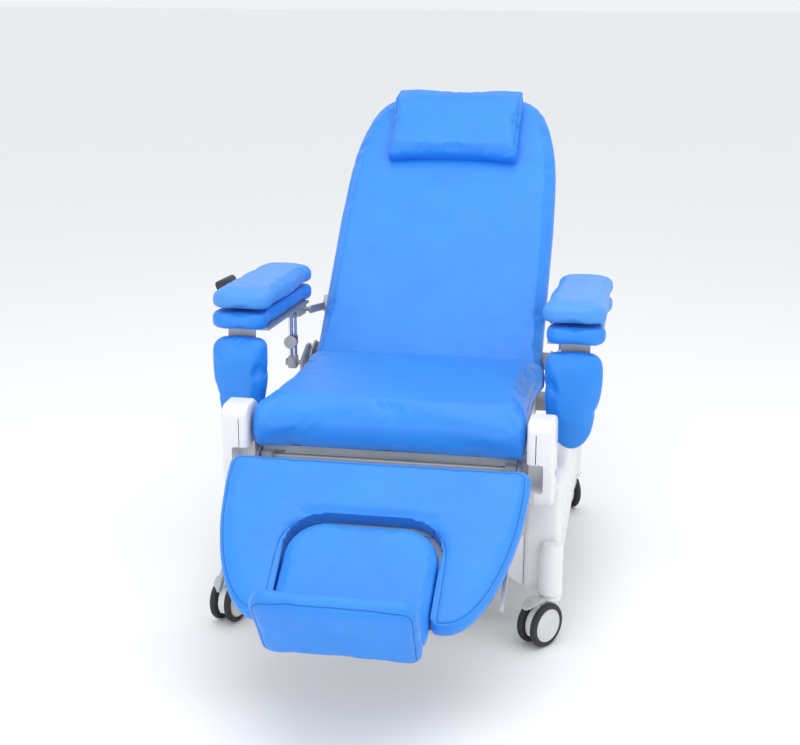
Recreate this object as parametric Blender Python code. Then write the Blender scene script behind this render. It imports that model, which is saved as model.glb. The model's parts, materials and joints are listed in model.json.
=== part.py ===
"""Patient recliner chair.

Metres, +Z up. The patient faces -Y, so the front is -Y and the patient's right is -X.
Each moving body hangs from an empty that stands on its joint's axis. The last step moves
the whole chair so that the centre of its footprint is the world origin.
"""

import math

import bmesh
import bpy
from mathutils import Matrix, Vector

GAP = 0.0003  # between touching pieces
PLAY = 0.0003  # between a bore and its pin
SIDES = {"left": -1, "right": 1}  # as seen from the front: left is -X

# Backrest
LEAN = math.radians(45.6)
BACK_HINGE_Y = 0.140
BACK_HINGE_Z = 0.490
ROLL = 0.0605  # radius of the cushion's round lower end, centred on the hinge
BACK_PAD = 0.070
BACK_HALF = 0.311
BACK_LENGTH = 0.885
BOARD = 0.012
TUBE = 0.025
BACK_FRAME_LENGTH = 0.600
PILLOW_LENGTH = 0.255
PILLOW_PAD = 0.055
PILLOW_HALF = 0.185
FLAP = 0.0097

# Seat
SEAT_HALF = 0.312
SEAT_FRONT_Y = -0.482
SEAT_BOTTOM = 0.449
SEAT_TOP_REAR = 0.531
SEAT_TOP_FRONT = 0.554
RAIL_IN = 0.270
RAIL_OUT = 0.295
RAIL_HEIGHT = 0.0397
CROSS = 0.030

# Hinge plates beside the cushions, from the inside out
LUG_IN = 0.3195
LUG_OUT = 0.3255
PLATE_IN = 0.3275
PLATE_OUT = 0.3345
PIN = 0.008

# Leg rest
LEG_DROP = math.radians(32.5)
LEG_HINGE_Y = -0.450
LEG_HINGE_Z = 0.420
LEG_START = 0.0744  # from the hinge to the cushion's upper edge
LEG_FACE = 0.1023  # height of the cushion's face over the hinge
LEG_PAD = 0.045
LEG_LENGTH = 0.407
LEG_HALF = 0.337
NOTCH_START = 0.165
NOTCH_HALF = 0.169
CALF_GAP = 0.005
CALF_PAD = 0.038
CARRIER = 0.005
FOOT_AT = 0.447
FOOT_PAD = 0.0375
FOOT_HALF = 0.163
FOOT_TOP = 0.165
LEG_ARM_IN = 0.2975
LEG_ARM_OUT = 0.3055

# Armrests
ARM_Y = 0.085
ARM_FOOT_Z = 0.496
POST = 0.140  # distance between the post's two pivots
ARM_PITCH = math.radians(3.3)
ARM_IN = 0.3375
ARM_WIDTH = 0.1365
ARM_FRONT = -0.3595
ARM_REAR = 0.150
ARM_BAR_Z = 0.0065
ARM_PAD_Z = 0.0140
LOWER_PAD = 0.040
PAD_GAP = 0.0095
UPPER_PAD = 0.047
SHIELD_PAD = 0.045
SHIELD_DROP = 0.232
EAR = 0.0065
POST_IN = 0.3475
POST_OUT = 0.3710
POST_TUBE = 0.0058
ARM_PIN = 0.006
OPEN_PIVOT_PLAY = 0.0013
KNOB_HEIGHT = 0.061
SWIVEL_X = 0.400
SWIVEL_Y = 0.050

# Base
RAIL_Z = 0.140
RAIL_SIDE = 0.040
BASE_IN = 0.318
BASE_OUT = 0.385
RAIL_INSET = 0.026
UPRIGHT = 0.015
UPRIGHT_FRONT = -0.360
UPRIGHT_REAR = -0.050
SEAT_CROSS_Z = 0.3665
CROSS_FRONT_Y = -0.330
CROSS_REAR_Y = -0.110
WALL = 0.0035
SHELL_TOP = 0.3655
SHELL_IN = 0.312
SHELL_OUT = 0.394
SHELL_BOTTOM = 0.118
BOSS = 0.028
BOSS_TOP = 0.240
PANEL = 0.012

# Casters
CASTER_X = 0.3765
CASTER_FRONT_Y = -0.428
CASTER_REAR_Y = 0.400
WHEEL = 0.0525
WHEEL_WIDTH = 0.0175
WHEEL_PAIR = 0.056
TRAIL = 0.033
STEM = 0.011
AXLE = 0.004
CASTER_TURN = {
    "front_left": -15.0,
    "front_right": -36.0,
    "rear_left": 160.0,
    "rear_right": -150.0,
}

# Actuators
ACTUATOR = 0.021
ROD = 0.010
BACK_ACTUATOR_X = 0.060
LEG_ACTUATOR_X = -0.060
BACK_PIVOT = (-0.315, 0.270)
LEVER = 0.095
LEVER_ANGLE = math.radians(-80.0)
LEG_PIVOT = (-0.095, 0.325)
LEG_LUG = (-0.180, -0.052)
CLEVIS_GAP = 0.0063

# Handset
HANDSET = (0.024, 0.115, 0.060)
HANDSET_TILT = math.radians(24.0)

PLACES = {
    "X": lambda u, v, w: (w, u, v),
    "Y": lambda u, v, w: (u, w, v),
    "Z": lambda u, v, w: (u, v, w),
}


# Small tools


def clear_scene():
    for old in list(bpy.data.objects):
        bpy.data.objects.remove(old, do_unlink=True)


def finish(name, colour, roughness, metallic=0.0):
    material = bpy.data.materials.new(name)
    material.use_nodes = True
    shader = material.node_tree.nodes["Principled BSDF"]
    shader.inputs["Base Color"].default_value = (*colour, 1.0)
    shader.inputs["Roughness"].default_value = roughness
    shader.inputs["Metallic"].default_value = metallic
    return material


def anchor(name, parent=None, at=(0, 0, 0), turn=(0, 0, 0)):
    empty = bpy.data.objects.new(name, None)
    bpy.context.collection.objects.link(empty)
    empty.parent = parent
    empty.location = at
    empty.rotation_euler = turn
    return empty


def rounded(corners, steps=3):
    """The outline through (u, v, radius) corners, each rounded with its own radius."""
    points = []
    for index, (u, v, radius) in enumerate(corners):
        corner = Vector((u, v))
        if radius <= 0:
            points.append((u, v))
            continue
        before = (Vector(corners[index - 1][:2]) - corner).normalized()
        after = (Vector(corners[(index + 1) % len(corners)][:2]) - corner).normalized()
        half = before.angle(after) / 2
        centre = corner + (before + after).normalized() * radius / math.sin(half)
        first = corner + before * radius / math.tan(half) - centre
        last = corner + after * radius / math.tan(half) - centre
        turn = math.atan2(first.x * last.y - first.y * last.x, first.dot(last))
        for step in range(steps + 1):
            angle = turn * step / steps
            c = math.cos(angle)
            s = math.sin(angle)
            points.append((centre.x + first.x * c - first.y * s, centre.y + first.x * s + first.y * c))
    return points


def bezier(start, pull_start, pull_end, end, steps=8):
    points = []
    for step in range(steps + 1):
        t = step / steps
        weights = ((1 - t) ** 3, 3 * t * (1 - t) ** 2, 3 * t * t * (1 - t), t**3)
        knots = (start, pull_start, pull_end, end)
        points.append(tuple(sum(w * k[axis] for w, k in zip(weights, knots)) for axis in (0, 1)))
    return points


def mirrored(half):
    """A closed outline from its half at u > 0, listed from one end of the centre line to the other."""
    return half + [(-u, v) for u, v in reversed(half)]


def prism(outline, low, high, axis):
    """A solid with this outline, from low to high along the axis."""
    place = PLACES[axis]
    bm = bmesh.new()
    face = bm.faces.new([bm.verts.new(place(u, v, low)) for u, v in outline])
    made = bmesh.ops.extrude_face_region(bm, geom=[face])["geom"]
    moved = [item for item in made if isinstance(item, bmesh.types.BMVert)]
    bmesh.ops.translate(bm, verts=moved, vec=place(0, 0, high - low))
    return bm


def box(low, high):
    (x0, y0, z0), (x1, y1, z1) = low, high
    return prism([(x0, y0), (x1, y0), (x1, y1), (x0, y1)], z0, z1, "Z")


def rod(start, end, radius, segments=16, end_radius=None):
    start = Vector(start)
    end = Vector(end)
    bm = bmesh.new()
    turn = (end - start).to_track_quat("Z", "Y").to_matrix().to_4x4()
    bmesh.ops.create_cone(
        bm,
        cap_ends=True,
        segments=segments,
        radius1=radius,
        radius2=radius if end_radius is None else end_radius,
        depth=(end - start).length,
        matrix=Matrix.Translation((start + end) / 2) @ turn,
    )
    return bm


def turned(profile, segments=20):
    """A solid turned about X from (x, radius) points that start and end on the axis, with a flat at its foot."""
    bm = bmesh.new()
    half_step = math.pi / segments
    c = math.cos(half_step)
    s = math.sin(half_step)
    verts = [bm.verts.new((x, radius * s, radius * c)) for x, radius in profile]
    edges = [bm.edges.new(pair) for pair in zip(verts, verts[1:])]
    bmesh.ops.spin(
        bm,
        geom=verts + edges,
        cent=(0, 0, 0),
        axis=(1, 0, 0),
        angle=2 * math.pi,
        steps=segments,
        use_merge=True,
    )
    bmesh.ops.remove_doubles(bm, verts=bm.verts, dist=1e-6)
    return bm


def flip_side(bm, side):
    bmesh.ops.scale(bm, vec=(side, 1, 1), verts=bm.verts)
    return bm


def solid(name, bm, parent, material=None):
    bmesh.ops.recalc_face_normals(bm, faces=bm.faces)
    if bm.calc_volume(signed=True) < 0:
        bmesh.ops.reverse_faces(bm, faces=bm.faces)
    mesh = bpy.data.meshes.new(name)
    bm.to_mesh(mesh)
    bm.free()
    mesh.shade_smooth()
    mesh.set_sharp_from_angle(angle=math.radians(35))
    obj = bpy.data.objects.new(name, mesh)
    bpy.context.collection.objects.link(obj)
    obj.parent = parent
    if material:
        mesh.materials.append(material)
    return obj


def combine(obj, tools, operation):
    for index, bm in enumerate(tools):
        tool = solid(f"{obj.name}_{operation.lower()}_{index}", bm, obj.parent)
        tool.hide_render = True
        tool.display_type = "WIRE"
        modifier = obj.modifiers.new(f"{operation.title()} {index}", "BOOLEAN")
        modifier.operation = operation
        modifier.object = tool
    return obj


def weld(obj, *tools):
    return combine(obj, tools, "UNION")


def cut(obj, *tools):
    return combine(obj, tools, "DIFFERENCE")


def soften(obj, width, segments=1, angle=50):
    modifier = obj.modifiers.new("Soft edge", "BEVEL")
    modifier.width = width
    modifier.segments = segments
    modifier.limit_method = "ANGLE"
    modifier.angle_limit = math.radians(angle)
    return obj


def bore_x(y, z, radius, low, high):
    return rod((low, y, z), (high, y, z), radius)


# Base


def shell_outline(inset):
    """The side view of a base shell, shrunk by inset. The lower edge is cut open afterwards."""
    low = SHELL_BOTTOM - (0.04 if inset else 0)
    front = CASTER_FRONT_Y + 0.012 + inset
    rear = CASTER_REAR_Y - 0.012 - inset
    top = SHELL_TOP - inset
    corners = [
        (front, low, 0),
        (front, 0.265 - inset, 0.03),
        (UPRIGHT_FRONT - 0.015 + inset, top, 0.02),
        (UPRIGHT_REAR + 0.030 - inset, top, 0.04),
        (rear - 0.22, 0.250 - inset, 0.10),
        (rear, 0.225 - inset, 0.02),
        (rear, low, 0),
    ]
    return rounded(corners)


def shell_body(inset):
    return prism(shell_outline(inset), SHELL_IN + inset, SHELL_OUT - inset, "X")


def shell_boss(y, inset):
    low = SHELL_BOTTOM - (0.04 if inset else 0)
    return rod((CASTER_X, y, low), (CASTER_X, y, BOSS_TOP - inset), BOSS - inset, 20)


def base(chair, steel, white, black):
    beam_z = (RAIL_Z, RAIL_Z + RAIL_SIDE)
    for name, side in SIDES.items():
        rail = box(
            (BASE_IN, CASTER_FRONT_Y + RAIL_INSET, beam_z[0]),
            (BASE_OUT, CASTER_REAR_Y - RAIL_INSET, beam_z[1]),
        )
        rail = solid(f"base_rail_{name}", flip_side(rail, side), chair, steel)
        plate = box(
            (BASE_IN, UPRIGHT_FRONT, RAIL_Z + 0.005),
            (BASE_IN + UPRIGHT, UPRIGHT_REAR, SEAT_CROSS_Z - GAP),
        )
        sockets = [
            rod((CASTER_X, y, SHELL_BOTTOM + 0.008), (CASTER_X, y, 0.2), 0.020)
            for y in (CASTER_FRONT_Y, CASTER_REAR_Y)
        ]
        necks = [
            box((CASTER_X - 0.0175, y0, RAIL_Z + 0.001), (CASTER_X + 0.0075, y1, RAIL_Z + 0.039))
            for y0, y1 in (
                (CASTER_FRONT_Y, CASTER_FRONT_Y + RAIL_INSET + 0.002),
                (CASTER_REAR_Y - RAIL_INSET - 0.002, CASTER_REAR_Y),
            )
        ]
        bores = [
            rod((CASTER_X, y, 0.05), (CASTER_X, y, 0.195), STEM + PLAY)
            for y in (CASTER_FRONT_Y, CASTER_REAR_Y)
        ]
        weld(rail, *(flip_side(tool, side) for tool in [plate, *sockets, *necks]))
        cut(rail, *(flip_side(tool, side) for tool in bores))

        shell = solid(f"base_shell_{name}", flip_side(shell_body(0), side), chair, white)
        bosses = [shell_boss(y, 0) for y in (CASTER_FRONT_Y, CASTER_REAR_Y)]
        hollow = [shell_body(WALL)]
        hollow += [shell_boss(y, WALL) for y in (CASTER_FRONT_Y, CASTER_REAR_Y)]
        slot = box(
            (BASE_IN - GAP, UPRIGHT_FRONT - GAP, SHELL_TOP - 0.02),
            (BASE_IN + UPRIGHT + GAP, UPRIGHT_REAR + GAP, SHELL_TOP + 0.02),
        )
        arch = box(
            (SHELL_IN - 0.01, CASTER_FRONT_Y + BOSS + 0.02, 0.05),
            (SHELL_OUT + 0.02, CASTER_REAR_Y - BOSS - 0.02, SHELL_BOTTOM + 0.017),
        )
        notches = [
            box((SHELL_IN - 0.01, y - GAP, 0.05), (BASE_IN, y + RAIL_SIDE + GAP, beam_z[1] + GAP))
            for y in (CASTER_FRONT_Y + 0.030, CASTER_REAR_Y - 0.070)
        ]
        weld(shell, *(flip_side(tool, side) for tool in bosses))
        cut(shell, *(flip_side(tool, side) for tool in [*hollow, slot, arch, *notches]))

    reach = BASE_IN - GAP
    for name, y in (("front", CASTER_FRONT_Y + 0.030), ("rear", CASTER_REAR_Y - 0.070)):
        beam = box((-reach, y, beam_z[0]), (reach, y + RAIL_SIDE, beam_z[1]))
        solid(f"base_cross_{name}", beam, chair, steel)
        edge = SHELL_IN - GAP
        half = [(0, 0.155), (0.235, 0.155)]
        half += bezier((0.255, 0.155), (0.275, 0.150), (0.290, 0.125), (edge, 0.122), 5)
        half += [(edge, 0.248), (0, 0.248)]
        outline = half[1:-1] + [(-u, v) for u, v in reversed(half[1:-1])]
        low = y - GAP - PANEL if name == "front" else y + RAIL_SIDE + GAP
        panel = solid(f"base_panel_{name}", prism(outline, low, low + PANEL, "Y"), chair, white)
        soften(panel, 0.003)

    box_y = CASTER_REAR_Y - 0.120
    control = box((-0.11, box_y, beam_z[1] + GAP), (0.11, box_y + 0.085, beam_z[1] + 0.075))
    soften(solid("control_box", control, chair, black), 0.006)


# Seat


def seat(chair, steel, white, blue):
    rear = BACK_HINGE_Y - ROLL - 0.002
    rail_top = SEAT_BOTTOM - GAP - BOARD - GAP
    rail_low = rail_top - RAIL_HEIGHT
    profile = rounded(
        [
            (rear, SEAT_BOTTOM, 0.006),
            (rear, SEAT_TOP_REAR, 0.010),
            (SEAT_FRONT_Y, SEAT_TOP_FRONT, 0.040),
            (SEAT_FRONT_Y, SEAT_BOTTOM, 0.022),
        ]
    )
    cushion = solid("seat_cushion", prism(profile, -SEAT_HALF, SEAT_HALF, "X"), chair, blue)
    soften(cushion, 0.014)
    board_half = RAIL_OUT + 0.0005
    board = box(
        (-board_half, SEAT_FRONT_Y + 0.027, rail_top + GAP), (board_half, rear - 0.008, SEAT_BOTTOM - GAP)
    )
    solid("seat_board", board, chair, steel)

    for name, side in SIDES.items():
        rail = box((RAIL_IN, LEG_HINGE_Y - 0.025, rail_low), (RAIL_OUT, 0.105, rail_top))
        rail = solid(f"seat_rail_{name}", flip_side(rail, side), chair, steel)
        block = box(
            (RAIL_IN + 0.001, 0.084, rail_low + 0.001),
            (PLATE_OUT - 0.001, 0.165, BACK_HINGE_Z - ROLL - 0.0035),
        )
        plate = rounded(
            [
                (0.081, rail_low, 0.003),
                (0.168, rail_low, 0.003),
                (0.168, BACK_HINGE_Z + 0.044, 0.02),
                (0.130, BACK_HINGE_Z + 0.044, 0.02),
                (ARM_Y - 0.024, ARM_FOOT_Z + 0.012, 0.012),
                (ARM_Y - 0.024, ARM_FOOT_Z - 0.016, 0.010),
            ]
        )
        holder = box((RAIL_OUT - 0.001, -0.420, 0.400), (0.3195 - GAP, -0.392, 0.430))
        stud = bore_x(BACK_HINGE_Y, BACK_HINGE_Z, PIN, LUG_IN, PLATE_IN + 0.001)
        foot = bore_x(ARM_Y, ARM_FOOT_Z, ARM_PIN, PLATE_OUT - 0.001, 0.377)
        head = bore_x(ARM_Y, ARM_FOOT_Z, 0.010, POST_OUT + 0.0006, 0.378)
        parts = [block, prism(plate, PLATE_IN, PLATE_OUT, "X"), holder, stud, foot, head]
        weld(rail, *(flip_side(tool, side) for tool in parts))
        hole = bore_x(LEG_HINGE_Y, LEG_HINGE_Z, PIN + PLAY, RAIL_IN - 0.01, RAIL_OUT + 0.01)
        cut(rail, flip_side(hole, side))

        cover = rounded(
            [
                (-0.500, 0.354, 0.016),
                (-0.500, 0.550, 0.026),
                (-0.405, 0.550, 0.040),
                (-0.388, 0.490, 0.030),
                (-0.400, 0.354, 0.020),
            ]
        )
        cover = prism(cover, 0.3195, 0.381, "X")
        cover = solid(f"hinge_cover_{name}", flip_side(cover, side), chair, white)
        niche = box((0.310, -0.510, 0.380), (0.359, -0.440, 0.455))
        slit = box((0.3385, -0.510, 0.454), (0.3405, -0.450, 0.519))
        cut(cover, *(flip_side(tool, side) for tool in [niche, slit]))
        soften(cover, 0.004, 2)

    end = RAIL_OUT + UPRIGHT
    for name, y in (("front", CROSS_FRONT_Y), ("rear", CROSS_REAR_Y)):
        beam = box((-BASE_IN - 0.015, y, SEAT_CROSS_Z), (BASE_IN + 0.015, y + CROSS, rail_low - GAP))
        beam = solid(f"seat_cross_{name}", beam, chair, steel)
        x = BACK_ACTUATOR_X if name == "front" else LEG_ACTUATOR_X
        pivot = BACK_PIVOT if name == "front" else LEG_PIVOT
        lug = rounded(
            [
                (pivot[0] - 0.014, pivot[1] - 0.014, 0.012),
                (pivot[0] + 0.014, pivot[1] - 0.014, 0.012),
                (pivot[0] + 0.014, SEAT_CROSS_Z + 0.004, 0.001),
                (pivot[0] - 0.014, SEAT_CROSS_Z + 0.004, 0.001),
            ]
        )
        ears = [prism(lug, x + s * 0.0225 - 0.002, x + s * 0.0225 + 0.002, "X") for s in (-1, 1)]
        pin = bore_x(pivot[0], pivot[1], 0.005, x - 0.023, x + 0.023)
        weld(beam, *ears, pin)
    shaft = bore_x(LEG_HINGE_Y, LEG_HINGE_Z, PIN, -end + 0.003, end - 0.003)
    solid("leg_hinge_shaft", shaft, chair, steel)


# Backrest


def back_half_outline(inset, low, length):
    """Half of the backrest's outline as (x, height), from its foot up to the centre of its top."""
    wide = BACK_HALF - inset
    points = [(wide, low), (wide, 0.45)]
    points += bezier((wide - 0.003, 0.56), (wide - 0.009, 0.74), (wide - 0.052, length), (0.150, length))
    return points


def backrest(chair, steel, white, blue):
    pivot = anchor("back_pivot", chair, (0, BACK_HINGE_Y, BACK_HINGE_Z), (-LEAN, 0, 0))
    rear = BACK_PAD - ROLL
    outline = mirrored(back_half_outline(0, -ROLL, BACK_LENGTH))
    profile = rounded(
        [
            (-ROLL, -ROLL, ROLL - 0.0005),
            (rear, -ROLL, 0.004),
            (rear, BACK_LENGTH + 0.01, 0),
            (-ROLL, BACK_LENGTH + 0.01, 0),
        ],
        8,
    )
    cushion = solid("back_cushion", prism(outline, -ROLL, rear, "Y"), pivot, blue)
    combine(cushion, [prism(profile, -0.4, 0.4, "X")], "INTERSECT")
    soften(cushion, 0.012)

    board_low = rear + GAP
    board_high = board_low + BOARD
    outline = mirrored(back_half_outline(0.012, -0.020, BACK_LENGTH - 0.020))
    board = solid("back_board", prism(outline, board_low, board_high, "Y"), pivot, white)
    turn = Matrix.Rotation(LEAN, 2)
    tip = turn @ Vector((LEVER * math.cos(LEVER_ANGLE), LEVER * math.sin(LEVER_ANGLE)))
    lever = rounded(
        [
            (board_high - 0.002, 0.085, 0.001),
            (board_high - 0.002, -0.008, 0.001),
            (tip.x - 0.016, tip.y - 0.004, 0.008),
            (tip.x + 0.004, tip.y - 0.016, 0.008),
            (tip.x + 0.014, tip.y + 0.008, 0.008),
        ]
    )
    weld(board, prism(lever, BACK_ACTUATOR_X - 0.005, BACK_ACTUATOR_X + 0.005, "X"))

    front = -ROLL - GAP
    low = BACK_LENGTH - PILLOW_LENGTH
    behind = board_high + 0.002
    over = BACK_LENGTH + GAP
    hook = rounded(
        [
            (front, low, 0.006),
            (front, over, 0),
            (behind, over, 0),
            (behind, over - 0.085, 0.002),
            (behind + FLAP, over - 0.085, 0.004),
            (behind + FLAP, over + FLAP, 0.008),
            (front - 0.012, over + FLAP, 0.012),
            (front - PILLOW_PAD, over - 0.060, 0.060),
            (front - PILLOW_PAD, low, 0.024),
        ]
    )
    pillow = solid("head_pillow", prism(hook, -PILLOW_HALF, PILLOW_HALF, "X"), pivot, blue)
    soften(pillow, 0.004)

    tube_low = board_high + GAP
    tube_high = tube_low + TUBE
    link = turn @ Vector((0, POST))
    for name, side in SIDES.items():
        frame = box((RAIL_IN - 0.005, tube_low, 0.030), (RAIL_OUT - 0.005, tube_high, BACK_FRAME_LENGTH))
        frame = solid(f"back_frame_{name}", flip_side(frame, side), pivot, steel)
        foot = box((RAIL_IN - 0.004, tube_low, 0.030), (LUG_OUT, tube_high, 0.070))
        upper = box((RAIL_IN - 0.004, tube_low, 0.185), (LUG_OUT, tube_high, 0.225))
        lug = rounded(
            [
                (-0.020, -0.020, 0.018),
                (0.020, -0.020, 0.018),
                (tube_high, 0.020, 0.006),
                (tube_high, 0.070, 0.004),
                (0.010, 0.070, 0.010),
                (-0.020, 0.020, 0.018),
            ]
        )
        along = (Vector((tube_low + 0.012, 0.205)) - link).normalized()
        across = Vector((-along.y, along.x)) * 0.010
        ends = (link - along * 0.010, Vector((tube_high, 0.205)))
        bar = rounded(
            [
                (*(ends[0] - across), 0.009),
                (*(ends[1] - across), 0.001),
                (*(ends[1] + across), 0.001),
                (*(ends[0] + across), 0.009),
            ]
        )
        stud = bore_x(link.x, link.y, ARM_PIN, LUG_OUT - 0.001, ARM_IN + 0.0065)
        parts = [foot, upper, prism(lug, LUG_IN, LUG_OUT, "X"), prism(bar, LUG_IN, LUG_OUT, "X"), stud]
        weld(frame, *(flip_side(tool, side) for tool in parts))
        hole = bore_x(0, 0, PIN + PLAY, LUG_IN - 0.01, LUG_OUT + 0.01)
        cut(frame, flip_side(hole, side))


# Leg rest


def leg_half_outline():
    """Half of the leg cushion as (x, -distance along the leg), from its upper edge to the notch."""
    top = -LEG_START
    end = -LEG_START - LEG_LENGTH
    points = [(LEG_HALF - 0.022, top)]
    points += [(LEG_HALF - 0.006, top - 0.008), (LEG_HALF, top - 0.025), (LEG_HALF, top - 0.090)]
    points += bezier(
        (LEG_HALF - 0.005, top - 0.140),
        (LEG_HALF - 0.017, top - 0.240),
        (LEG_HALF - 0.062, end),
        (0.195, end),
        8,
    )
    points += [(NOTCH_HALF + 0.010, end + 0.001), (NOTCH_HALF, end + 0.012)]
    round_notch = 0.088
    centre = (NOTCH_HALF - round_notch, top - NOTCH_START - round_notch)
    for step in range(6):
        angle = math.pi / 2 * step / 5
        points.append((centre[0] + round_notch * math.cos(angle), centre[1] + round_notch * math.sin(angle)))
    return points


def leg_rest(chair, steel, blue, grey):
    pivot = anchor("leg_pivot", chair, (0, LEG_HINGE_Y, LEG_HINGE_Z), (LEG_DROP, 0, 0))
    low = LEG_FACE - LEG_PAD
    cushion = prism(mirrored(leg_half_outline()), low, LEG_FACE, "Z")
    soften(solid("leg_cushion", cushion, pivot, blue), 0.010)

    board_high = low - GAP
    board_low = board_high - BOARD
    top = -LEG_START - 0.012
    board_outline = mirrored(
        rounded(
            [
                (0, top, 0),
                (LEG_HALF - 0.030, top, 0.012),
                (LEG_HALF - 0.026, top - 0.170, 0.1),
                (0.175, -LEG_START - LEG_LENGTH + 0.015, 0.03),
                (0, -LEG_START - LEG_LENGTH + 0.015, 0),
            ]
        )[1:-1]
    )
    board = solid("leg_board", prism(board_outline, board_low, board_high, "Z"), pivot, grey)
    y, z = LEG_LUG
    lug = rounded(
        [
            (y - 0.012, z - 0.011, 0.010),
            (y + 0.012, z - 0.011, 0.010),
            (y + 0.035, board_low + 0.002, 0.001),
            (y - 0.035, board_low + 0.002, 0.001),
        ]
    )
    weld(board, prism(lug, LEG_ACTUATOR_X - 0.005, LEG_ACTUATOR_X + 0.005, "X"))

    arm = rounded(
        [
            (0.018, -0.018, 0.016),
            (0.018, 0.018, 0.016),
            (-0.060, board_low - GAP, 0.004),
            (-0.400, board_low - GAP, 0.003),
            (-0.400, board_low - 0.020, 0.010),
            (-0.060, board_low - 0.026, 0.010),
        ]
    )
    for name, side in SIDES.items():
        plate = prism(arm, LEG_ARM_IN, LEG_ARM_OUT, "X")
        plate = solid(f"leg_arm_{name}", flip_side(plate, side), pivot, steel)
        hole = bore_x(0, 0, PIN + PLAY, LEG_ARM_IN - 0.01, LEG_ARM_OUT + 0.01)
        cut(plate, flip_side(hole, side))

    slide = anchor("foot_slide", pivot, (0, -LEG_START - FOOT_AT, low))
    reach = FOOT_AT - NOTCH_START - CALF_GAP
    half = NOTCH_HALF - CALF_GAP
    round_top = 0.083
    calf_outline = rounded(
        [(-half, -0.004, 0.035), (half, -0.004, 0.035), (half, reach, round_top), (-half, reach, round_top)], 5
    )
    calf_low = CARRIER + 2 * GAP
    calf = prism(calf_outline, calf_low, calf_low + CALF_PAD, "Z")
    soften(solid("calf_pad", calf, slide, blue), 0.008)
    foot_high = LEG_PAD + FOOT_TOP
    sole = rounded(
        [
            (-FOOT_HALF + 0.002, 0.019, 0.025),
            (FOOT_HALF - 0.002, 0.019, 0.025),
            (FOOT_HALF + 0.003, foot_high, 0.035),
            (-FOOT_HALF - 0.003, foot_high, 0.035),
        ]
    )
    plate_y = -0.005
    foot = prism(sole, plate_y - GAP - FOOT_PAD, plate_y - GAP, "Y")
    soften(solid("foot_pad", foot, slide, blue), 0.010)
    base_plate = box((-0.110, plate_y + 0.0003, GAP), (0.110, reach - 0.040, GAP + CARRIER))
    carrier = solid("foot_carrier", base_plate, slide, steel)
    weld(carrier, box((-0.110, plate_y + 0.0003, GAP + 0.0005), (0.110, plate_y + 0.0007, 0.021)))


# Armrests


def arm_pad_outline():
    out = ARM_IN + ARM_WIDTH
    return rounded(
        [
            (ARM_IN, ARM_FRONT, 0.034),
            (out, ARM_FRONT, 0.040),
            (out + 0.002, ARM_REAR, 0.030),
            (ARM_IN, ARM_REAR, 0.030),
        ]
    )


def upper_pad_outline():
    out = ARM_IN + ARM_WIDTH
    return rounded(
        [
            (ARM_IN - 0.006, ARM_FRONT, 0.034),
            (out - 0.006, ARM_FRONT, 0.042),
            (out + 0.002, ARM_FRONT + 0.26, 0.20),
            (out - 0.004, ARM_REAR, 0.038),
            (ARM_IN + 0.004, ARM_REAR, 0.036),
            (ARM_IN - 0.010, ARM_FRONT + 0.24, 0.16),
        ]
    )


def shield_outline():
    top = -0.0057
    return rounded(
        [
            (ARM_IN + 0.002, top, 0.022),
            (ARM_IN + ARM_WIDTH - 0.003, top, 0.030),
            (ARM_IN + ARM_WIDTH - 0.002, top - 0.100, 0.10),
            (ARM_IN + ARM_WIDTH - 0.028, top - 0.205, 0.06),
            (ARM_IN + 0.064, top - SHIELD_DROP, 0.05),
            (ARM_IN + 0.018, top - 0.195, 0.05),
            (ARM_IN - 0.001, top - 0.110, 0.06),
        ]
    )


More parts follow.
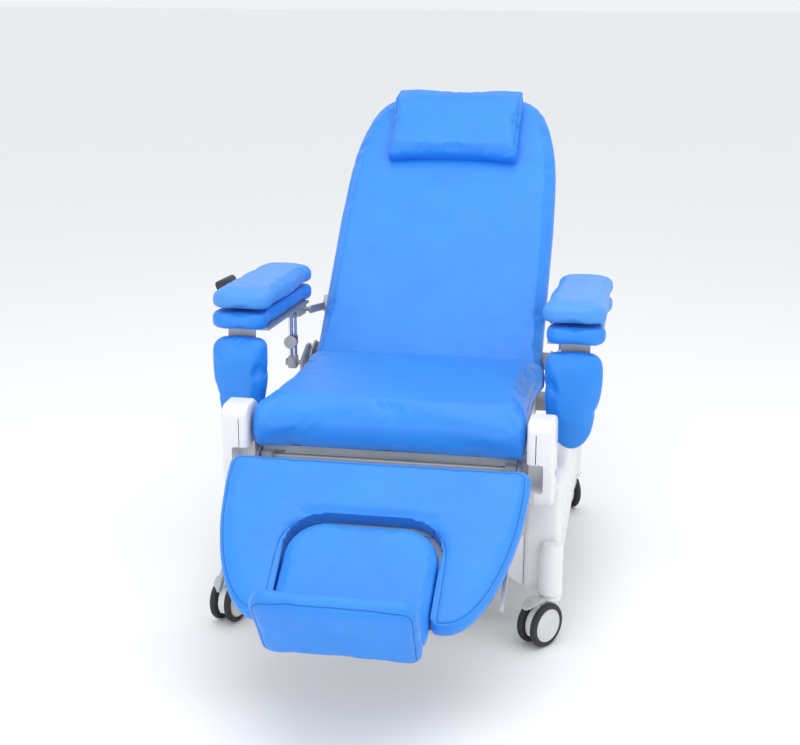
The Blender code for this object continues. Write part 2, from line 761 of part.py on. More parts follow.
def armrests(chair, steel, bright, blue, grey, black):
    swivels = {}
    for name, side in SIDES.items():
        post_pivot = anchor(f"post_pivot_{name}", chair, (0, ARM_Y, ARM_FOOT_Z))
        middle = (POST_IN + POST_OUT) / 2
        block = box((POST_IN, -0.0145, -0.0145), (POST_OUT, 0.0145, 0.018))
        post = solid(f"arm_post_{name}", flip_side(block, side), post_pivot, bright)
        tubes = [
            rod((middle + s * POST_TUBE, 0, 0.010), (middle + s * POST_TUBE, 0, POST - 0.01), POST_TUBE + 0.0002, 12)
            for s in (-1, 1)
        ]
        collar = box((POST_IN, -0.012, KNOB_HEIGHT - 0.012), (POST_OUT, 0.012, KNOB_HEIGHT + 0.012))
        crown = rounded(
            [
                (-0.012, POST - 0.015, 0),
                (0.012, POST - 0.015, 0),
                (0.012, POST - 0.006, 0.002),
                (0.0035, POST + 0.0045, 0.002),
                (-0.0035, POST + 0.0045, 0.002),
                (-0.012, POST - 0.006, 0.002),
            ]
        )
        crown = prism(crown, POST_IN, POST_OUT, "X")
        cross_pin = bore_x(0, POST, ARM_PIN - 0.001, ARM_IN + 0.0015, 0.3800)
        weld(post, *(flip_side(tool, side) for tool in [*tubes, collar, crown, cross_pin]))
        cut(post, flip_side(bore_x(0, 0, ARM_PIN + PLAY, POST_IN - 0.01, POST_OUT + 0.01), side))

        knob_pivot = anchor(f"knob_pivot_{name}", post_pivot, (side * middle, -0.012 - GAP, KNOB_HEIGHT))
        knob = solid(f"arm_knob_{name}", rod((0, 0, 0), (0, -0.008, 0), 0.0055), knob_pivot, grey)
        weld(knob, rod((0, -0.007, 0), (0, -0.022, 0), 0.0165, 24, 0.0175))

        pivot = anchor(f"arm_pivot_{name}", post_pivot, (0, 0, POST), (-ARM_PITCH, 0, 0))
        bar_high = ARM_PAD_Z - GAP
        bar = box((ARM_IN + 0.001, -0.313, ARM_BAR_Z), (0.455, 0.100, bar_high))
        bar = solid(f"arm_bar_{name}", flip_side(bar, side), pivot, steel)
        link_y = BACK_HINGE_Y - ARM_Y
        link_z = BACK_HINGE_Z - ARM_FOOT_Z
        link = Matrix.Rotation(ARM_PITCH, 2) @ Vector((link_y, link_z))
        ear = rounded(
            [
                (-0.014, -0.014, 0.012),
                (link.x + 0.014, -0.016, 0.012),
                (link.x + 0.016, ARM_BAR_Z + 0.002, 0.001),
                (-0.014, ARM_BAR_Z + 0.002, 0.001),
            ]
        )
        outer = rounded(
            [(-0.014, -0.012, 0.011), (0.014, -0.012, 0.011), (0.014, ARM_BAR_Z + 0.002, 0.001)]
            + [(-0.014, ARM_BAR_Z + 0.002, 0.001)]
        )
        hanger = box((0.372, ARM_FRONT + SHIELD_PAD + GAP, -0.165), (0.440, -0.308, ARM_BAR_Z + 0.002))
        inner_ear = prism(ear, ARM_IN + 0.001, ARM_IN + 0.001 + EAR, "X")
        outer_ear = prism(outer, POST_OUT + 0.0020, POST_OUT + 0.0020 + EAR, "X")
        weld(bar, *(flip_side(tool, side) for tool in [inner_ear, outer_ear, hanger]))
        holes = [
            bore_x(0, 0, ARM_PIN - 0.001 + PLAY, ARM_IN - 0.01, 0.39),
            bore_x(link.x, link.y, ARM_PIN + OPEN_PIVOT_PLAY, ARM_IN - 0.01, ARM_IN + EAR + 0.003),
        ]
        cut(bar, *(flip_side(tool, side) for tool in holes))

        lower = prism(arm_pad_outline(), ARM_PAD_Z, ARM_PAD_Z + LOWER_PAD, "Z")
        soften(solid(f"arm_lower_pad_{name}", flip_side(lower, side), pivot, blue), 0.014)
        shield = prism(shield_outline(), ARM_FRONT, ARM_FRONT + SHIELD_PAD, "Y")
        soften(solid(f"arm_shield_{name}", flip_side(shield, side), pivot, blue), 0.010)

        pad_low = ARM_PAD_Z + LOWER_PAD + PAD_GAP
        swivel = anchor(f"swivel_{name}", pivot, (side * SWIVEL_X, SWIVEL_Y, pad_low))
        upper = prism(upper_pad_outline(), 0, UPPER_PAD, "Z")
        upper = flip_side(upper, side)
        bmesh.ops.translate(upper, verts=upper.verts, vec=(-side * SWIVEL_X, -SWIVEL_Y, 0))
        upper = solid(f"arm_upper_pad_{name}", upper, swivel, blue)
        weld(upper, rod((0, 0, GAP - PAD_GAP), (0, 0, 0.010), 0.024))
        soften(upper, 0.014)
        swivels[name] = swivel
    handset(swivels["left"], black)


def handset(swivel, black):
    """The handset and its holder, hung on the outer side of the patient's right armrest."""
    thick, long, high = HANDSET
    outer = -(ARM_IN + ARM_WIDTH) + SWIVEL_X - 0.016
    seat_at = anchor("handset_seat", swivel, (outer, -0.155, 0.012), (0, -HANDSET_TILT, 0))
    body = box((-thick, -long / 2, -high / 2), (0, long / 2, high / 2))
    soften(solid("handset", body, seat_at, black), 0.006, 3)
    back = box((GAP, -long / 2 + 0.02, -high / 2), (GAP + 0.003, long / 2 - 0.010, high / 2 - 0.018))
    holder = solid("handset_holder", back, seat_at, black)
    wire = 0.003
    start = Vector((0.0035, long / 2 - 0.030, -0.012))
    lean = Matrix.Rotation(HANDSET_TILT, 3, "Y")
    bend = start + lean @ Vector((-0.003, 0.110, 0.004))
    tail = bend + lean @ Vector((0.002, 0.010, -0.0128))
    inner = tail + lean @ Vector((0.048, 0, 0))
    weld(
        holder,
        rod(start, bend, wire, 8),
        rod(bend, tail, wire, 8),
        rod(tail, inner, wire - 0.0004, 8),
        rod(bend + Vector((0, 0, -wire)), bend + Vector((0, 0, wire)), wire, 8),
        rod(tail + Vector((0, 0, -wire)), tail + Vector((0, 0, wire)), wire - 0.0002, 8),
    )


# Actuators


def actuator(name, chair, x, pivot, target, body_length, rod_start, black, bright):
    """A linear actuator whose housing turns on pivot, and whose rod ends in an open clevis at target."""
    y, z = pivot
    angle = math.atan2(target[1] - z, target[0] - y)
    length = math.hypot(target[0] - y, target[1] - z)
    tilt = anchor(f"{name}_tilt", chair, (x, y, z), (angle, 0, 0))
    housing = rod((0, -0.012, 0), (0, body_length, 0), ACTUATOR - 0.003)
    housing = solid(f"{name}_housing", housing, tilt, black)
    motor = box((-0.0195, 0.030, -0.019), (0.0195, 0.150, 0.019))
    weld(housing, motor)
    bore = rod((0, rod_start - 0.115, 0), (0, body_length + 0.01, 0), ROD + 0.0005)
    cut(housing, bore, bore_x(0, 0, 0.005 + PLAY, -0.03, 0.03))
    slide = anchor(f"{name}_slide", tilt, (0, length, 0))
    piston = rod((0, rod_start - length, 0), (0, -0.036, 0), ROD)
    piston = solid(f"{name}_rod", piston, slide, bright)
    head = box((-0.0105, -0.042, -0.018), (0.0105, 0.014, 0.018))
    slot = box((-CLEVIS_GAP, -0.032, -0.03), (CLEVIS_GAP, 0.03, 0.03))
    weld(piston, head)
    cut(piston, slot, bore_x(0, 0, 0.005, -0.02, 0.02))


def actuators(chair, black, bright):
    lever = (
        BACK_HINGE_Y + LEVER * math.cos(LEVER_ANGLE),
        BACK_HINGE_Z + LEVER * math.sin(LEVER_ANGLE),
    )
    actuator("back_actuator", chair, BACK_ACTUATOR_X, BACK_PIVOT, lever, 0.300, 0.150, black, bright)
    lug = Matrix.Rotation(LEG_DROP, 2) @ Vector(LEG_LUG)
    lug = (LEG_HINGE_Y + lug.x, LEG_HINGE_Z + lug.y)
    actuator("leg_actuator", chair, LEG_ACTUATOR_X, LEG_PIVOT, lug, 0.340, 0.250, black, bright)


# Casters


def casters(chair, white, grey, tyre):
    for name, turn in CASTER_TURN.items():
        x = CASTER_X * SIDES[name.split("_")[1]]
        y = CASTER_FRONT_Y if name.startswith("front") else CASTER_REAR_Y
        swivel = anchor(f"caster_{name}", chair, (x, y, 0), (0, 0, math.radians(turn)))
        core_half = WHEEL_PAIR / 2 - WHEEL_WIDTH - 0.0008
        core = rod((-core_half, -TRAIL, WHEEL), (core_half, -TRAIL, WHEEL), WHEEL - 0.012, 28)
        yoke = solid(f"caster_yoke_{name}", core, swivel, white)
        neck_half = core_half - 0.0006
        neck = box((-neck_half, -0.0410, WHEEL), (neck_half, 0.014, 0.1085))
        cap = rod((0, 0, 2 * WHEEL + 0.0015), (0, 0, SHELL_BOTTOM - 0.0015), 0.027, 28)
        stem = rod((0, 0, 0.100), (0, 0, 0.190), STEM)
        weld(yoke, neck, cap, stem)
        cut(yoke, bore_x(-TRAIL, WHEEL, AXLE + PLAY, -0.05, 0.05))

        axle = anchor(f"wheel_axle_{name}", swivel, (0, -TRAIL, WHEEL))
        inner = WHEEL_PAIR / 2 - WHEEL_WIDTH
        outer = WHEEL_PAIR / 2
        disc = 0.75 * WHEEL
        half = [
            (outer - 0.0020, 0),
            (outer - 0.0020, disc),
            (outer, disc + 0.002),
            (outer, WHEEL - 0.005),
            (outer - 0.0050, WHEEL),
            (inner + 0.0040, WHEEL),
            (inner, WHEEL - 0.004),
            (inner, AXLE),
        ]
        profile = half + [(-u, v) for u, v in reversed(half)]
        solid(f"caster_wheels_{name}", turned(profile), axle, tyre)

        hinge_z = 0.1132
        pedal_pivot = anchor(f"pedal_pivot_{name}", swivel, (0, -0.036, hinge_z))
        tongue = rounded(
            [
                (0.0045, -0.003, 0.002),
                (0.0045, 0.003, 0.002),
                (-0.030, 0.004, 0.01),
                (-0.052, -0.006, 0.002),
                (-0.054, -0.010, 0.002),
                (-0.030, -0.001, 0.01),
            ]
        )
        pedal = prism(tongue, -0.020, 0.020, "X")
        pedal = solid(f"caster_pedal_{name}", pedal, pedal_pivot, grey)
        soften(pedal, 0.001, 1)


def stand_on_centre(chair):
    """Moves the chair so that the centre of its footprint is the origin and it stands on z = 0."""
    bpy.context.view_layer.update()
    graph = bpy.context.evaluated_depsgraph_get()
    points = []
    for obj in bpy.data.objects:
        if obj.type == "MESH" and not obj.hide_render:
            shown = obj.evaluated_get(graph)
            mesh = shown.to_mesh()
            points += [shown.matrix_world @ vert.co for vert in mesh.vertices]
            shown.to_mesh_clear()
    low = [min(point[axis] for point in points) for axis in range(3)]
    high = [max(point[axis] for point in points) for axis in range(3)]
    chair.location = (-(low[0] + high[0]) / 2, -(low[1] + high[1]) / 2, -low[2])
    bpy.context.view_layer.update()


def main():
    clear_scene()
    blue = finish("upholstery", (0.020, 0.250, 0.760), 0.42)
    white = finish("white_plastic", (0.82, 0.82, 0.83), 0.35)
    grey = finish("grey_plastic", (0.55, 0.55, 0.56), 0.45)
    black = finish("black_plastic", (0.02, 0.02, 0.022), 0.45)
    steel = finish("frame_steel", (0.45, 0.46, 0.48), 0.40, 0.6)
    bright = finish("bright_steel", (0.72, 0.72, 0.74), 0.20, 1.0)
    tyre = finish("tyre", (0.03, 0.03, 0.032), 0.70)
    chair = anchor("chair")
    base(chair, steel, white, black)
    seat(chair, steel, white, blue)
    backrest(chair, steel, white, blue)
    leg_rest(chair, steel, blue, grey)
    armrests(chair, steel, bright, blue, grey, black)
    actuators(chair, black, bright)
    casters(chair, white, grey, tyre)
    stand_on_centre(chair)


main()
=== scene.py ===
"""Patient recliner chair: upholstery, moulded covers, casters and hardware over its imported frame.

Lengths are in metres. Each class builds one sub-assembly in that sub-assembly's own upright or tilted
frame, and then places the finished mesh in the chair's frame. The seated person faces -Y; left is -X.
"""

import json
import logging
import math
from collections.abc import Callable, Iterable, Sequence
from dataclasses import dataclass, field
from enum import Enum

import bmesh
import bpy
import numpy as np
from mathutils import Matrix, Vector
from mathutils.bvhtree import BVHTree
from mathutils.kdtree import KDTree


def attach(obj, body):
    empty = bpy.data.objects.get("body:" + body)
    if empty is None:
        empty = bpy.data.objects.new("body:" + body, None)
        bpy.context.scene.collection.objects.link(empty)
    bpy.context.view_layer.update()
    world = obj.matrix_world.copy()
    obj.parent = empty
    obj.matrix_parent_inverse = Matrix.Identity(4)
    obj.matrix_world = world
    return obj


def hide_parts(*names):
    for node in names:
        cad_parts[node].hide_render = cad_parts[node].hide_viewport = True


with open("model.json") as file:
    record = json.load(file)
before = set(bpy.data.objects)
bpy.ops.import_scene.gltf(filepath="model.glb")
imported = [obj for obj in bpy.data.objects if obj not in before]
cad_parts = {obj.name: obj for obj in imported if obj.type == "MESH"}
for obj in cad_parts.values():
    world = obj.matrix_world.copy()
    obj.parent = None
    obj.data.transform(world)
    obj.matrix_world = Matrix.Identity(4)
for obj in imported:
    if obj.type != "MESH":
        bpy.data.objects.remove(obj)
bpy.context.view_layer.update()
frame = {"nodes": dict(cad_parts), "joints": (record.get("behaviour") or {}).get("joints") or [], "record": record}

log = logging.getLogger("patient_recliner")

Corner = tuple[float, float, float]
Pair = tuple[float, float]
Placing = tuple[str, str, Matrix]
JOINTS = {joint["name"]: joint for joint in frame["joints"]}
GAP = 0.0003  # between a pad and its board
BOARD = 0.012  # thickness of the boards behind the pads


class Plane(Enum):
    """The plane an outline is drawn in. The value is the direction it is thickened along."""

    SIDE = "x"
    FRONT = "y"
    TOP = "z"

    def at(self, u: float, v: float, w: float) -> Vector:
        """Returns the point u along, v up and w deep."""
        if self is Plane.SIDE:
            return Vector((w, u, v))
        if self is Plane.FRONT:
            return Vector((u, w, v))
        return Vector((u, v, w))


class Side(Enum):
    """A side of the chair, as seen from the front. The value is the sign of X."""

    LEFT = -1
    RIGHT = 1

    @property
    def word(self) -> str:
        """Returns the word that node and body names use."""
        return self.name.lower()

    @property
    def flip(self) -> Matrix:
        """Returns the matrix that takes a right-hand shape to this side."""
        return Matrix.Diagonal((self.value, 1, 1, 1))


# Places


def joint_at(name: str) -> Vector:
    """Returns the point that a joint turns about, in the chair's frame."""
    return Vector(JOINTS[name]["pos_m"])


@dataclass(frozen=True)
class Places:
    """Frames of the chair's bodies at rest.

    Args:
        lean: angle of the backrest from upright, in degrees.
        leg_drop: angle of the leg rest below level, in degrees.
        arm_pitch: angle of the armrests above level at the front, in degrees.
        back_hinge: the backrest's hinge in the chair's own frame.
    """

    lean: float = 45.6
    leg_drop: float = 32.5
    arm_pitch: float = 3.3
    back_hinge: Pair = (0.140, 0.490)

    @property
    def chair(self) -> Matrix:
        """Returns the frame whose origin is under the middle of the seat, on the floor."""
        hinge = joint_at("back_recline")
        return Matrix.Translation(hinge - Vector((0, *self.back_hinge)))

    @property
    def back(self) -> Matrix:
        """Returns the backrest's frame: Z runs up the backrest and -Y faces the person."""
        tilt = Matrix.Rotation(-math.radians(self.lean), 4, "X")
        return Matrix.Translation(joint_at("back_recline")) @ tilt

    @property
    def leg(self) -> Matrix:
        """Returns the leg rest's frame: -Y runs down the leg and Z stands off its face."""
        return Matrix.Translation(joint_at("leg_lift")) @ Matrix.Rotation(math.radians(self.leg_drop), 4, "X")

    def arm(self, side: Side) -> Matrix:
        """Returns an armrest's frame, with X measured from the middle of the chair."""
        pivot = joint_at(f"arm_level_{side.word}")
        middle = joint_at("back_recline").x
        pitch = Matrix.Rotation(-math.radians(self.arm_pitch), 4, "X")
        return Matrix.Translation((middle, pivot.y, pivot.z)) @ pitch

    def post(self, side: Side) -> Matrix:
        """Returns a post's frame, at its lower pivot, with X measured from the middle of the chair."""
        pivot = joint_at(f"arm_post_tilt_{side.word}")
        return Matrix.Translation((joint_at("back_recline").x, pivot.y, pivot.z))

    def swivel(self, side: Side) -> Matrix:
        """Returns the frame of an armrest's swivelling pad."""
        pitch = Matrix.Rotation(-math.radians(self.arm_pitch), 4, "X")
        return Matrix.Translation(joint_at(f"arm_swivel_{side.word}")) @ pitch


PLACES = Places()


# Outlines and solids


def reach_of(corners: Sequence[Corner], index: int) -> float:
    """Returns how far along its edges a corner's rounding starts.

    Args:
        corners: the outline's (u, v, radius) corners.
        index: which corner.

    Returns:
        The distance from the corner, in metres.
    """
    u, v, radius = corners[index]
    before = Vector(corners[index - 1][:2]) - Vector((u, v))
    after = Vector(corners[(index + 1) % len(corners)][:2]) - Vector((u, v))
    half = before.angle(after) / 2
    return min(radius / math.tan(half), 0.49 * before.length, 0.49 * after.length)


def bezier(points: Sequence[Pair], steps: int) -> list[Corner]:
    """Returns steps + 1 sharp corners along a cubic curve through four control points."""
    found = []
    for step in range(steps + 1):
        t = step / steps
        weights = ((1 - t) ** 3, 3 * t * (1 - t) ** 2, 3 * t * t * (1 - t), t**3)
        u, v = (sum(w * p[axis] for w, p in zip(weights, points)) for axis in (0, 1))
        found.append((u, v, 0.0))
    return found


def both_halves(half: Sequence[Corner]) -> list[Corner]:
    """Returns a closed outline from its half at u > 0, listed from top to bottom."""
    return list(half) + [(-u, v, r) for u, v, r in reversed(half)]


def plate(
    corners: Sequence[Corner],
    plane: Plane,
    low: float,
    high: float,
    segments: int = 6,
) -> bmesh.types.BMesh:
    """Makes a thick plate with rounded corners.

    Args:
        corners: the outline's (u, v, radius) corners.
        plane: the plane the outline is drawn in.
        low: where the thickness starts.
        high: where the thickness ends.
        segments: pieces in each rounded corner.

    Returns:
        The plate as a bmesh.
    """
    bm = bmesh.new()
    verts = [bm.verts.new(plane.at(u, v, low)) for u, v, _ in corners]
    bm.faces.new(verts)
    for index, vert in enumerate(verts):
        if corners[index][2] > 0:
            bmesh.ops.bevel(
                bm,
                geom=[vert],
                offset=reach_of(corners, index),
                offset_type="OFFSET",
                segments=segments,
                profile=0.5,
                affect="VERTICES",
                material=-1,
            )
    thicken = bmesh.ops.extrude_face_region(bm, geom=list(bm.faces))["geom"]
    moved = [item for item in thicken if isinstance(item, bmesh.types.BMVert)]
    bmesh.ops.translate(bm, verts=moved, vec=plane.at(0, 0, high - low))
    bmesh.ops.recalc_face_normals(bm, faces=bm.faces)
    return bm


def block(low: Sequence[float], high: Sequence[float], bevel: float = 0.0) -> bmesh.types.BMesh:
    """Returns a box between two corners, with its edges rounded."""
    bm = bmesh.new()
    bmesh.ops.create_cube(bm, size=1.0)
    size = [h - l for l, h in zip(low, high)]
    centre = [(h + l) / 2 for l, h in zip(low, high)]
    bmesh.ops.scale(bm, vec=size, verts=bm.verts)
    bmesh.ops.translate(bm, vec=centre, verts=bm.verts)
    if bevel:
        soften(bm, bevel)
    return bm


def rod(start: Sequence[float], end: Sequence[float], radius: float, sides: int = 40) -> bmesh.types.BMesh:
    """Returns a round rod between two points."""
    a, b = Vector(start), Vector(end)
    bm = bmesh.new()
    turn = (b - a).to_track_quat("Z", "Y").to_matrix().to_4x4()
    bmesh.ops.create_cone(
        bm,
        cap_ends=True,
        segments=sides,
        radius1=radius,
        radius2=radius,
        depth=(b - a).length,
        matrix=Matrix.Translation((a + b) / 2) @ turn,
    )
    return bm


def turned(profile: Sequence[Pair], axis: Vector = Vector((1, 0, 0)), steps: int = 64) -> bmesh.types.BMesh:
    """Makes a solid of revolution.

    Args:
        profile: (along, radius) points that start and end on the axis.
        axis: the unit direction of the axis, through the origin.
        steps: pieces in a full turn.

    Returns:
        The closed solid as a bmesh.
    """
    across = Vector((0, 0, 1)) if abs(axis.z) < 0.9 else Vector((0, 1, 0))
    bm = bmesh.new()
    verts = [bm.verts.new(axis * along + across * radius) for along, radius in profile]
    edges = [bm.edges.new(pair) for pair in zip(verts, verts[1:])]
    bmesh.ops.spin(
        bm, geom=verts + edges, cent=(0, 0, 0), axis=axis, angle=2 * math.pi, steps=steps, use_merge=True
    )
    bmesh.ops.remove_doubles(bm, verts=bm.verts, dist=1e-6)
    bmesh.ops.recalc_face_normals(bm, faces=bm.faces)
    return bm


def soften(
    bm: bmesh.types.BMesh,
    width: float,
    segments: int = 3,
    where: Callable[[bmesh.types.BMEdge], bool] | None = None,
    angle: float = 35,
) -> bmesh.types.BMesh:
    """Rounds the sharp edges of a solid.

    Args:
        bm: the solid.
        width: width of the rounding.
        segments: pieces across it.
        where: a test that picks edges; without it, every sharp edge is rounded.
        angle: the least angle of a sharp edge, in degrees.

    Returns:
        The same bmesh.
    """
    bm.normal_update()
    sharp = [e for e in bm.edges if len(e.link_faces) == 2 and e.calc_face_angle() > math.radians(angle)]
    picked = [e for e in sharp if where is None or where(e)]
    bmesh.ops.bevel(
        bm,
        geom=picked,
        offset=width,
        offset_type="OFFSET",
        segments=segments,
        profile=0.5,
        affect="EDGES",
        clamp_overlap=True,
        material=-1,
    )
    return bm


def merged(parts: Iterable[bmesh.types.BMesh]) -> bmesh.types.BMesh:
    """Returns one bmesh that holds all the shells of the given ones, which are freed."""
    whole = bmesh.new()
    for part in parts:
        bmesh.ops.recalc_face_normals(part, faces=part.faces)
        scrap = bpy.data.meshes.new("scrap")
        part.to_mesh(scrap)
        part.free()
        whole.from_mesh(scrap)
        bpy.data.meshes.remove(scrap)
    return whole


def to_mesh(name: str, bm: bmesh.types.BMesh) -> bpy.types.Mesh:
    """Returns a mesh made from a bmesh, which is freed."""
    mesh = bpy.data.meshes.new(name)
    bm.to_mesh(mesh)
    bm.free()
    return mesh


def as_bmesh(mesh: bpy.types.Mesh) -> bmesh.types.BMesh:
    """Returns a bmesh made from a mesh, which is removed."""
    bm = bmesh.new()
    bm.from_mesh(mesh)
    bpy.data.meshes.remove(mesh)
    return bm


def evaluated(obj: bpy.types.Object) -> bpy.types.Mesh:
    """Returns a new mesh of an object with its modifiers worked in."""
    graph = bpy.context.evaluated_depsgraph_get()
    return bpy.data.meshes.new_from_object(obj.evaluated_get(graph), depsgraph=graph)


def loose(name: str, mesh: bpy.types.Mesh) -> bpy.types.Object:
    """Returns a new object for a mesh, linked to the scene."""
    obj = bpy.data.objects.new(name, mesh)
    bpy.context.scene.collection.objects.link(obj)
    return obj


def carved(
    name: str,
    bm: bmesh.types.BMesh,
    tools: Sequence[bmesh.types.BMesh],
    joined: bool = False,
) -> bpy.types.Mesh:
    """Cuts tools out of a solid, or joins them to it.

    Args:
        name: name of the mesh.
        bm: the solid.
        tools: the cutting or joining solids.
        joined: True to join, False to cut.

    Returns:
        The finished mesh.
    """
    obj = loose(name, to_mesh(name, bm))
    helpers = []
    for tool in tools:
        bmesh.ops.recalc_face_normals(tool, faces=tool.faces)
        helper = loose(f"{name}_tool", to_mesh(f"{name}_tool", tool))
        helpers.append(helper)
        cut = obj.modifiers.new("shape", "BOOLEAN")
        cut.operation = "UNION" if joined else "DIFFERENCE"
        cut.solver = "EXACT"
        cut.object = helper
    bpy.context.view_layer.update()
    mesh = evaluated(obj)
    for gone in [obj, *helpers]:
        bpy.data.objects.remove(gone, do_unlink=True)
    return mesh


def points_of(mesh: bpy.types.Mesh) -> np.ndarray:
    """Returns a mesh's vertices as rows."""
    rows = np.empty(len(mesh.vertices) * 3, np.float64)
    mesh.vertices.foreach_get("co", rows)
    return rows.reshape(-1, 3)


def put_points(mesh: bpy.types.Mesh, rows: np.ndarray) -> None:
    """Moves a mesh's vertices to the given rows."""
    mesh.vertices.foreach_set("co", rows.astype(np.float32).ravel())
    mesh.update()


def normals_of(mesh: bpy.types.Mesh) -> np.ndarray:
    """Returns a mesh's vertex normals as rows."""
    rows = np.empty(len(mesh.vertices) * 3, np.float32)
    mesh.vertex_normals.foreach_get("vector", rows)
    return rows.reshape(-1, 3).astype(np.float64)


def fine_path(points: Sequence[Vector], step: float, closed: bool) -> list[Vector]:
    """Returns points along a path, about a step apart."""
    found = []
    count = len(points)
    for index in range(count if closed else count - 1):
        a, b = points[index], points[(index + 1) % count]
        pieces = max(1, round((b - a).length / step))
        found += [a.lerp(b, k / pieces) for k in range(pieces)]
    if not closed:
        found.append(points[-1])
    return found


def rounded_path(corners: Sequence[Corner], plane: Plane, depth: float, inset: float = 0.0) -> list[Vector]:
    """Follows an outline, moved inwards.

    Args:
        corners: the outline's (u, v, radius) corners.
        plane: the plane the outline is drawn in.
        depth: where the path lies along the plane's normal.
        inset: how far inside the outline it runs.

    Returns:
        The path's points, as a closed loop.
    """
    area = sum(a[0] * b[1] - b[0] * a[1] for a, b in zip(corners, list(corners[1:]) + [corners[0]]))
    turn = 1 if area > 0 else -1
    path = []
    for index, (u, v, radius) in enumerate(corners):
        here = Vector((u, v))
        into = (here - Vector(corners[index - 1][:2])).normalized()
        out = (Vector(corners[(index + 1) % len(corners)][:2]) - here).normalized()
        left = [Vector((-d.y, d.x)) * turn for d in (into, out)]
        miter = (left[0] + left[1]).normalized()
        here = here + miter * inset / max(0.3, miter.dot(left[0]))
        bend = into.angle(out)
        convex = (into.x * out.y - into.y * out.x) * turn > 0
        radius = max(0.002, radius - inset if convex else radius + inset)
        if bend < 0.05 or corners[index][2] <= 0:
            path.append(here)
            continue
        reach = radius * math.tan(bend / 2)
        a, b = here - into * reach, here + out * reach
        for k in range(7):
            t = k / 6
            path.append(a * (1 - t) ** 2 + here * 2 * t * (1 - t) + b * t * t)
    return [plane.at(p.x, p.y, depth) for p in path]


# Finishes


class Shader:
    """A Principled material and the nodes that feed it."""

    def __init__(self, name: str, colour: Sequence[float], roughness: float, metallic: float = 0.0) -> None:
        """Starts the material.

        Args:
            name: the material's name.
            colour: base colour, linear red, green and blue.
            roughness: base roughness.
            metallic: 0 for plastic and cloth, 1 for bare metal.
        """
        self.material = bpy.data.materials.new(name)
        self.material.use_nodes = True
        self.tree = self.material.node_tree
        self.surface = self.tree.nodes["Principled BSDF"]
        self.surface.inputs["Base Color"].default_value = (*colour, 1.0)
        self.surface.inputs["Roughness"].default_value = roughness
        self.surface.inputs["Metallic"].default_value = metallic
        self.colour = colour
        self.roughness = roughness
        self.place = self.tree.nodes.new("ShaderNodeTexCoord").outputs["Object"]
        self.relief = None
        self.tint = None
        self.matt = None

    def noise(
        self,
        scale: float,
        detail: float = 3.0,
        stretch: Sequence[float] = (1, 1, 1),
    ) -> bpy.types.NodeSocket:
        """Returns a noise pattern, scale features to the metre, stretched along the axes."""
        spread = self.tree.nodes.new("ShaderNodeMapping")
        spread.inputs["Scale"].default_value = stretch
        self.tree.links.new(self.place, spread.inputs["Vector"])
        node = self.tree.nodes.new("ShaderNodeTexNoise")
        node.inputs["Scale"].default_value = scale
        node.inputs["Detail"].default_value = detail
        self.tree.links.new(spread.outputs["Vector"], node.inputs["Vector"])
        return node.outputs["Fac"]

    def pebbles(self, scale: float) -> bpy.types.NodeSocket:
        """Returns a pattern of small rounded cells, scale to the metre."""
        node = self.tree.nodes.new("ShaderNodeTexVoronoi")
        node.feature = "SMOOTH_F1"
        node.inputs["Scale"].default_value = scale
        node.inputs["Smoothness"].default_value = 0.4
        self.tree.links.new(self.place, node.inputs["Vector"])
        return node.outputs["Distance"]

    def between(
        self,
        pattern: bpy.types.NodeSocket,
        low: float,
        high: float,
        near: float = 0.3,
        far: float = 0.7,
    ) -> bpy.types.NodeSocket:
        """Returns a pattern spread from its near and far values to low and high."""
        node = self.tree.nodes.new("ShaderNodeMapRange")
        node.inputs["From Min"].default_value = near
        node.inputs["From Max"].default_value = far
        node.inputs["To Min"].default_value = low
        node.inputs["To Max"].default_value = high
        self.tree.links.new(pattern, node.inputs["Value"])
        return node.outputs["Result"]

    def shade(
        self,
        pattern: bpy.types.NodeSocket,
        colour: Sequence[float],
        most: float,
        near: float = 0.35,
        far: float = 0.7,
    ) -> None:
        """Mixes in another colour where a pattern is high.

        Args:
            pattern: the pattern to follow.
            colour: the colour mixed in.
            most: the largest share of it.
            near: pattern value where it starts.
            far: pattern value where it is fullest.
        """
        mix = self.tree.nodes.new("ShaderNodeMix")
        mix.data_type = "RGBA"
        self.tree.links.new(self.between(pattern, 0.0, most, near, far), mix.inputs["Factor"])
        if self.tint is None:
            mix.inputs["A"].default_value = (*self.colour, 1.0)
        else:
            self.tree.links.new(self.tint, mix.inputs["A"])
        mix.inputs["B"].default_value = (*colour, 1.0)
        self.tint = mix.outputs["Result"]
        self.tree.links.new(self.tint, self.surface.inputs["Base Color"])

    def vary(self, pattern: bpy.types.NodeSocket, amount: float) -> None:
        """Varies the roughness either way by an amount, along a pattern."""
        worn = self.between(pattern, self.roughness - amount, self.roughness + amount)
        self.tree.links.new(worn, self.surface.inputs["Roughness"])

    def emboss(self, pattern: bpy.types.NodeSocket, depth: float, strength: float = 1.0) -> None:
        """Raises the surface along a pattern.

        Args:
            pattern: the height pattern.
            depth: the height of its full range, in metres.
            strength: how much of it shows.
        """
        bump = self.tree.nodes.new("ShaderNodeBump")
        bump.inputs["Distance"].default_value = depth
        bump.inputs["Strength"].default_value = strength
        self.tree.links.new(pattern, bump.inputs["Height"])
        if self.relief is not None:
            self.tree.links.new(self.relief, bump.inputs["Normal"])
        self.relief = bump.outputs["Normal"]
        self.tree.links.new(self.relief, self.surface.inputs["Normal"])

    def set(self, **values: float) -> None:
        """Sets constant values on the surface, with spaces in socket names written as underscores."""
        for name, value in values.items():
            self.surface.inputs[name.replace("_", " ")].default_value = value


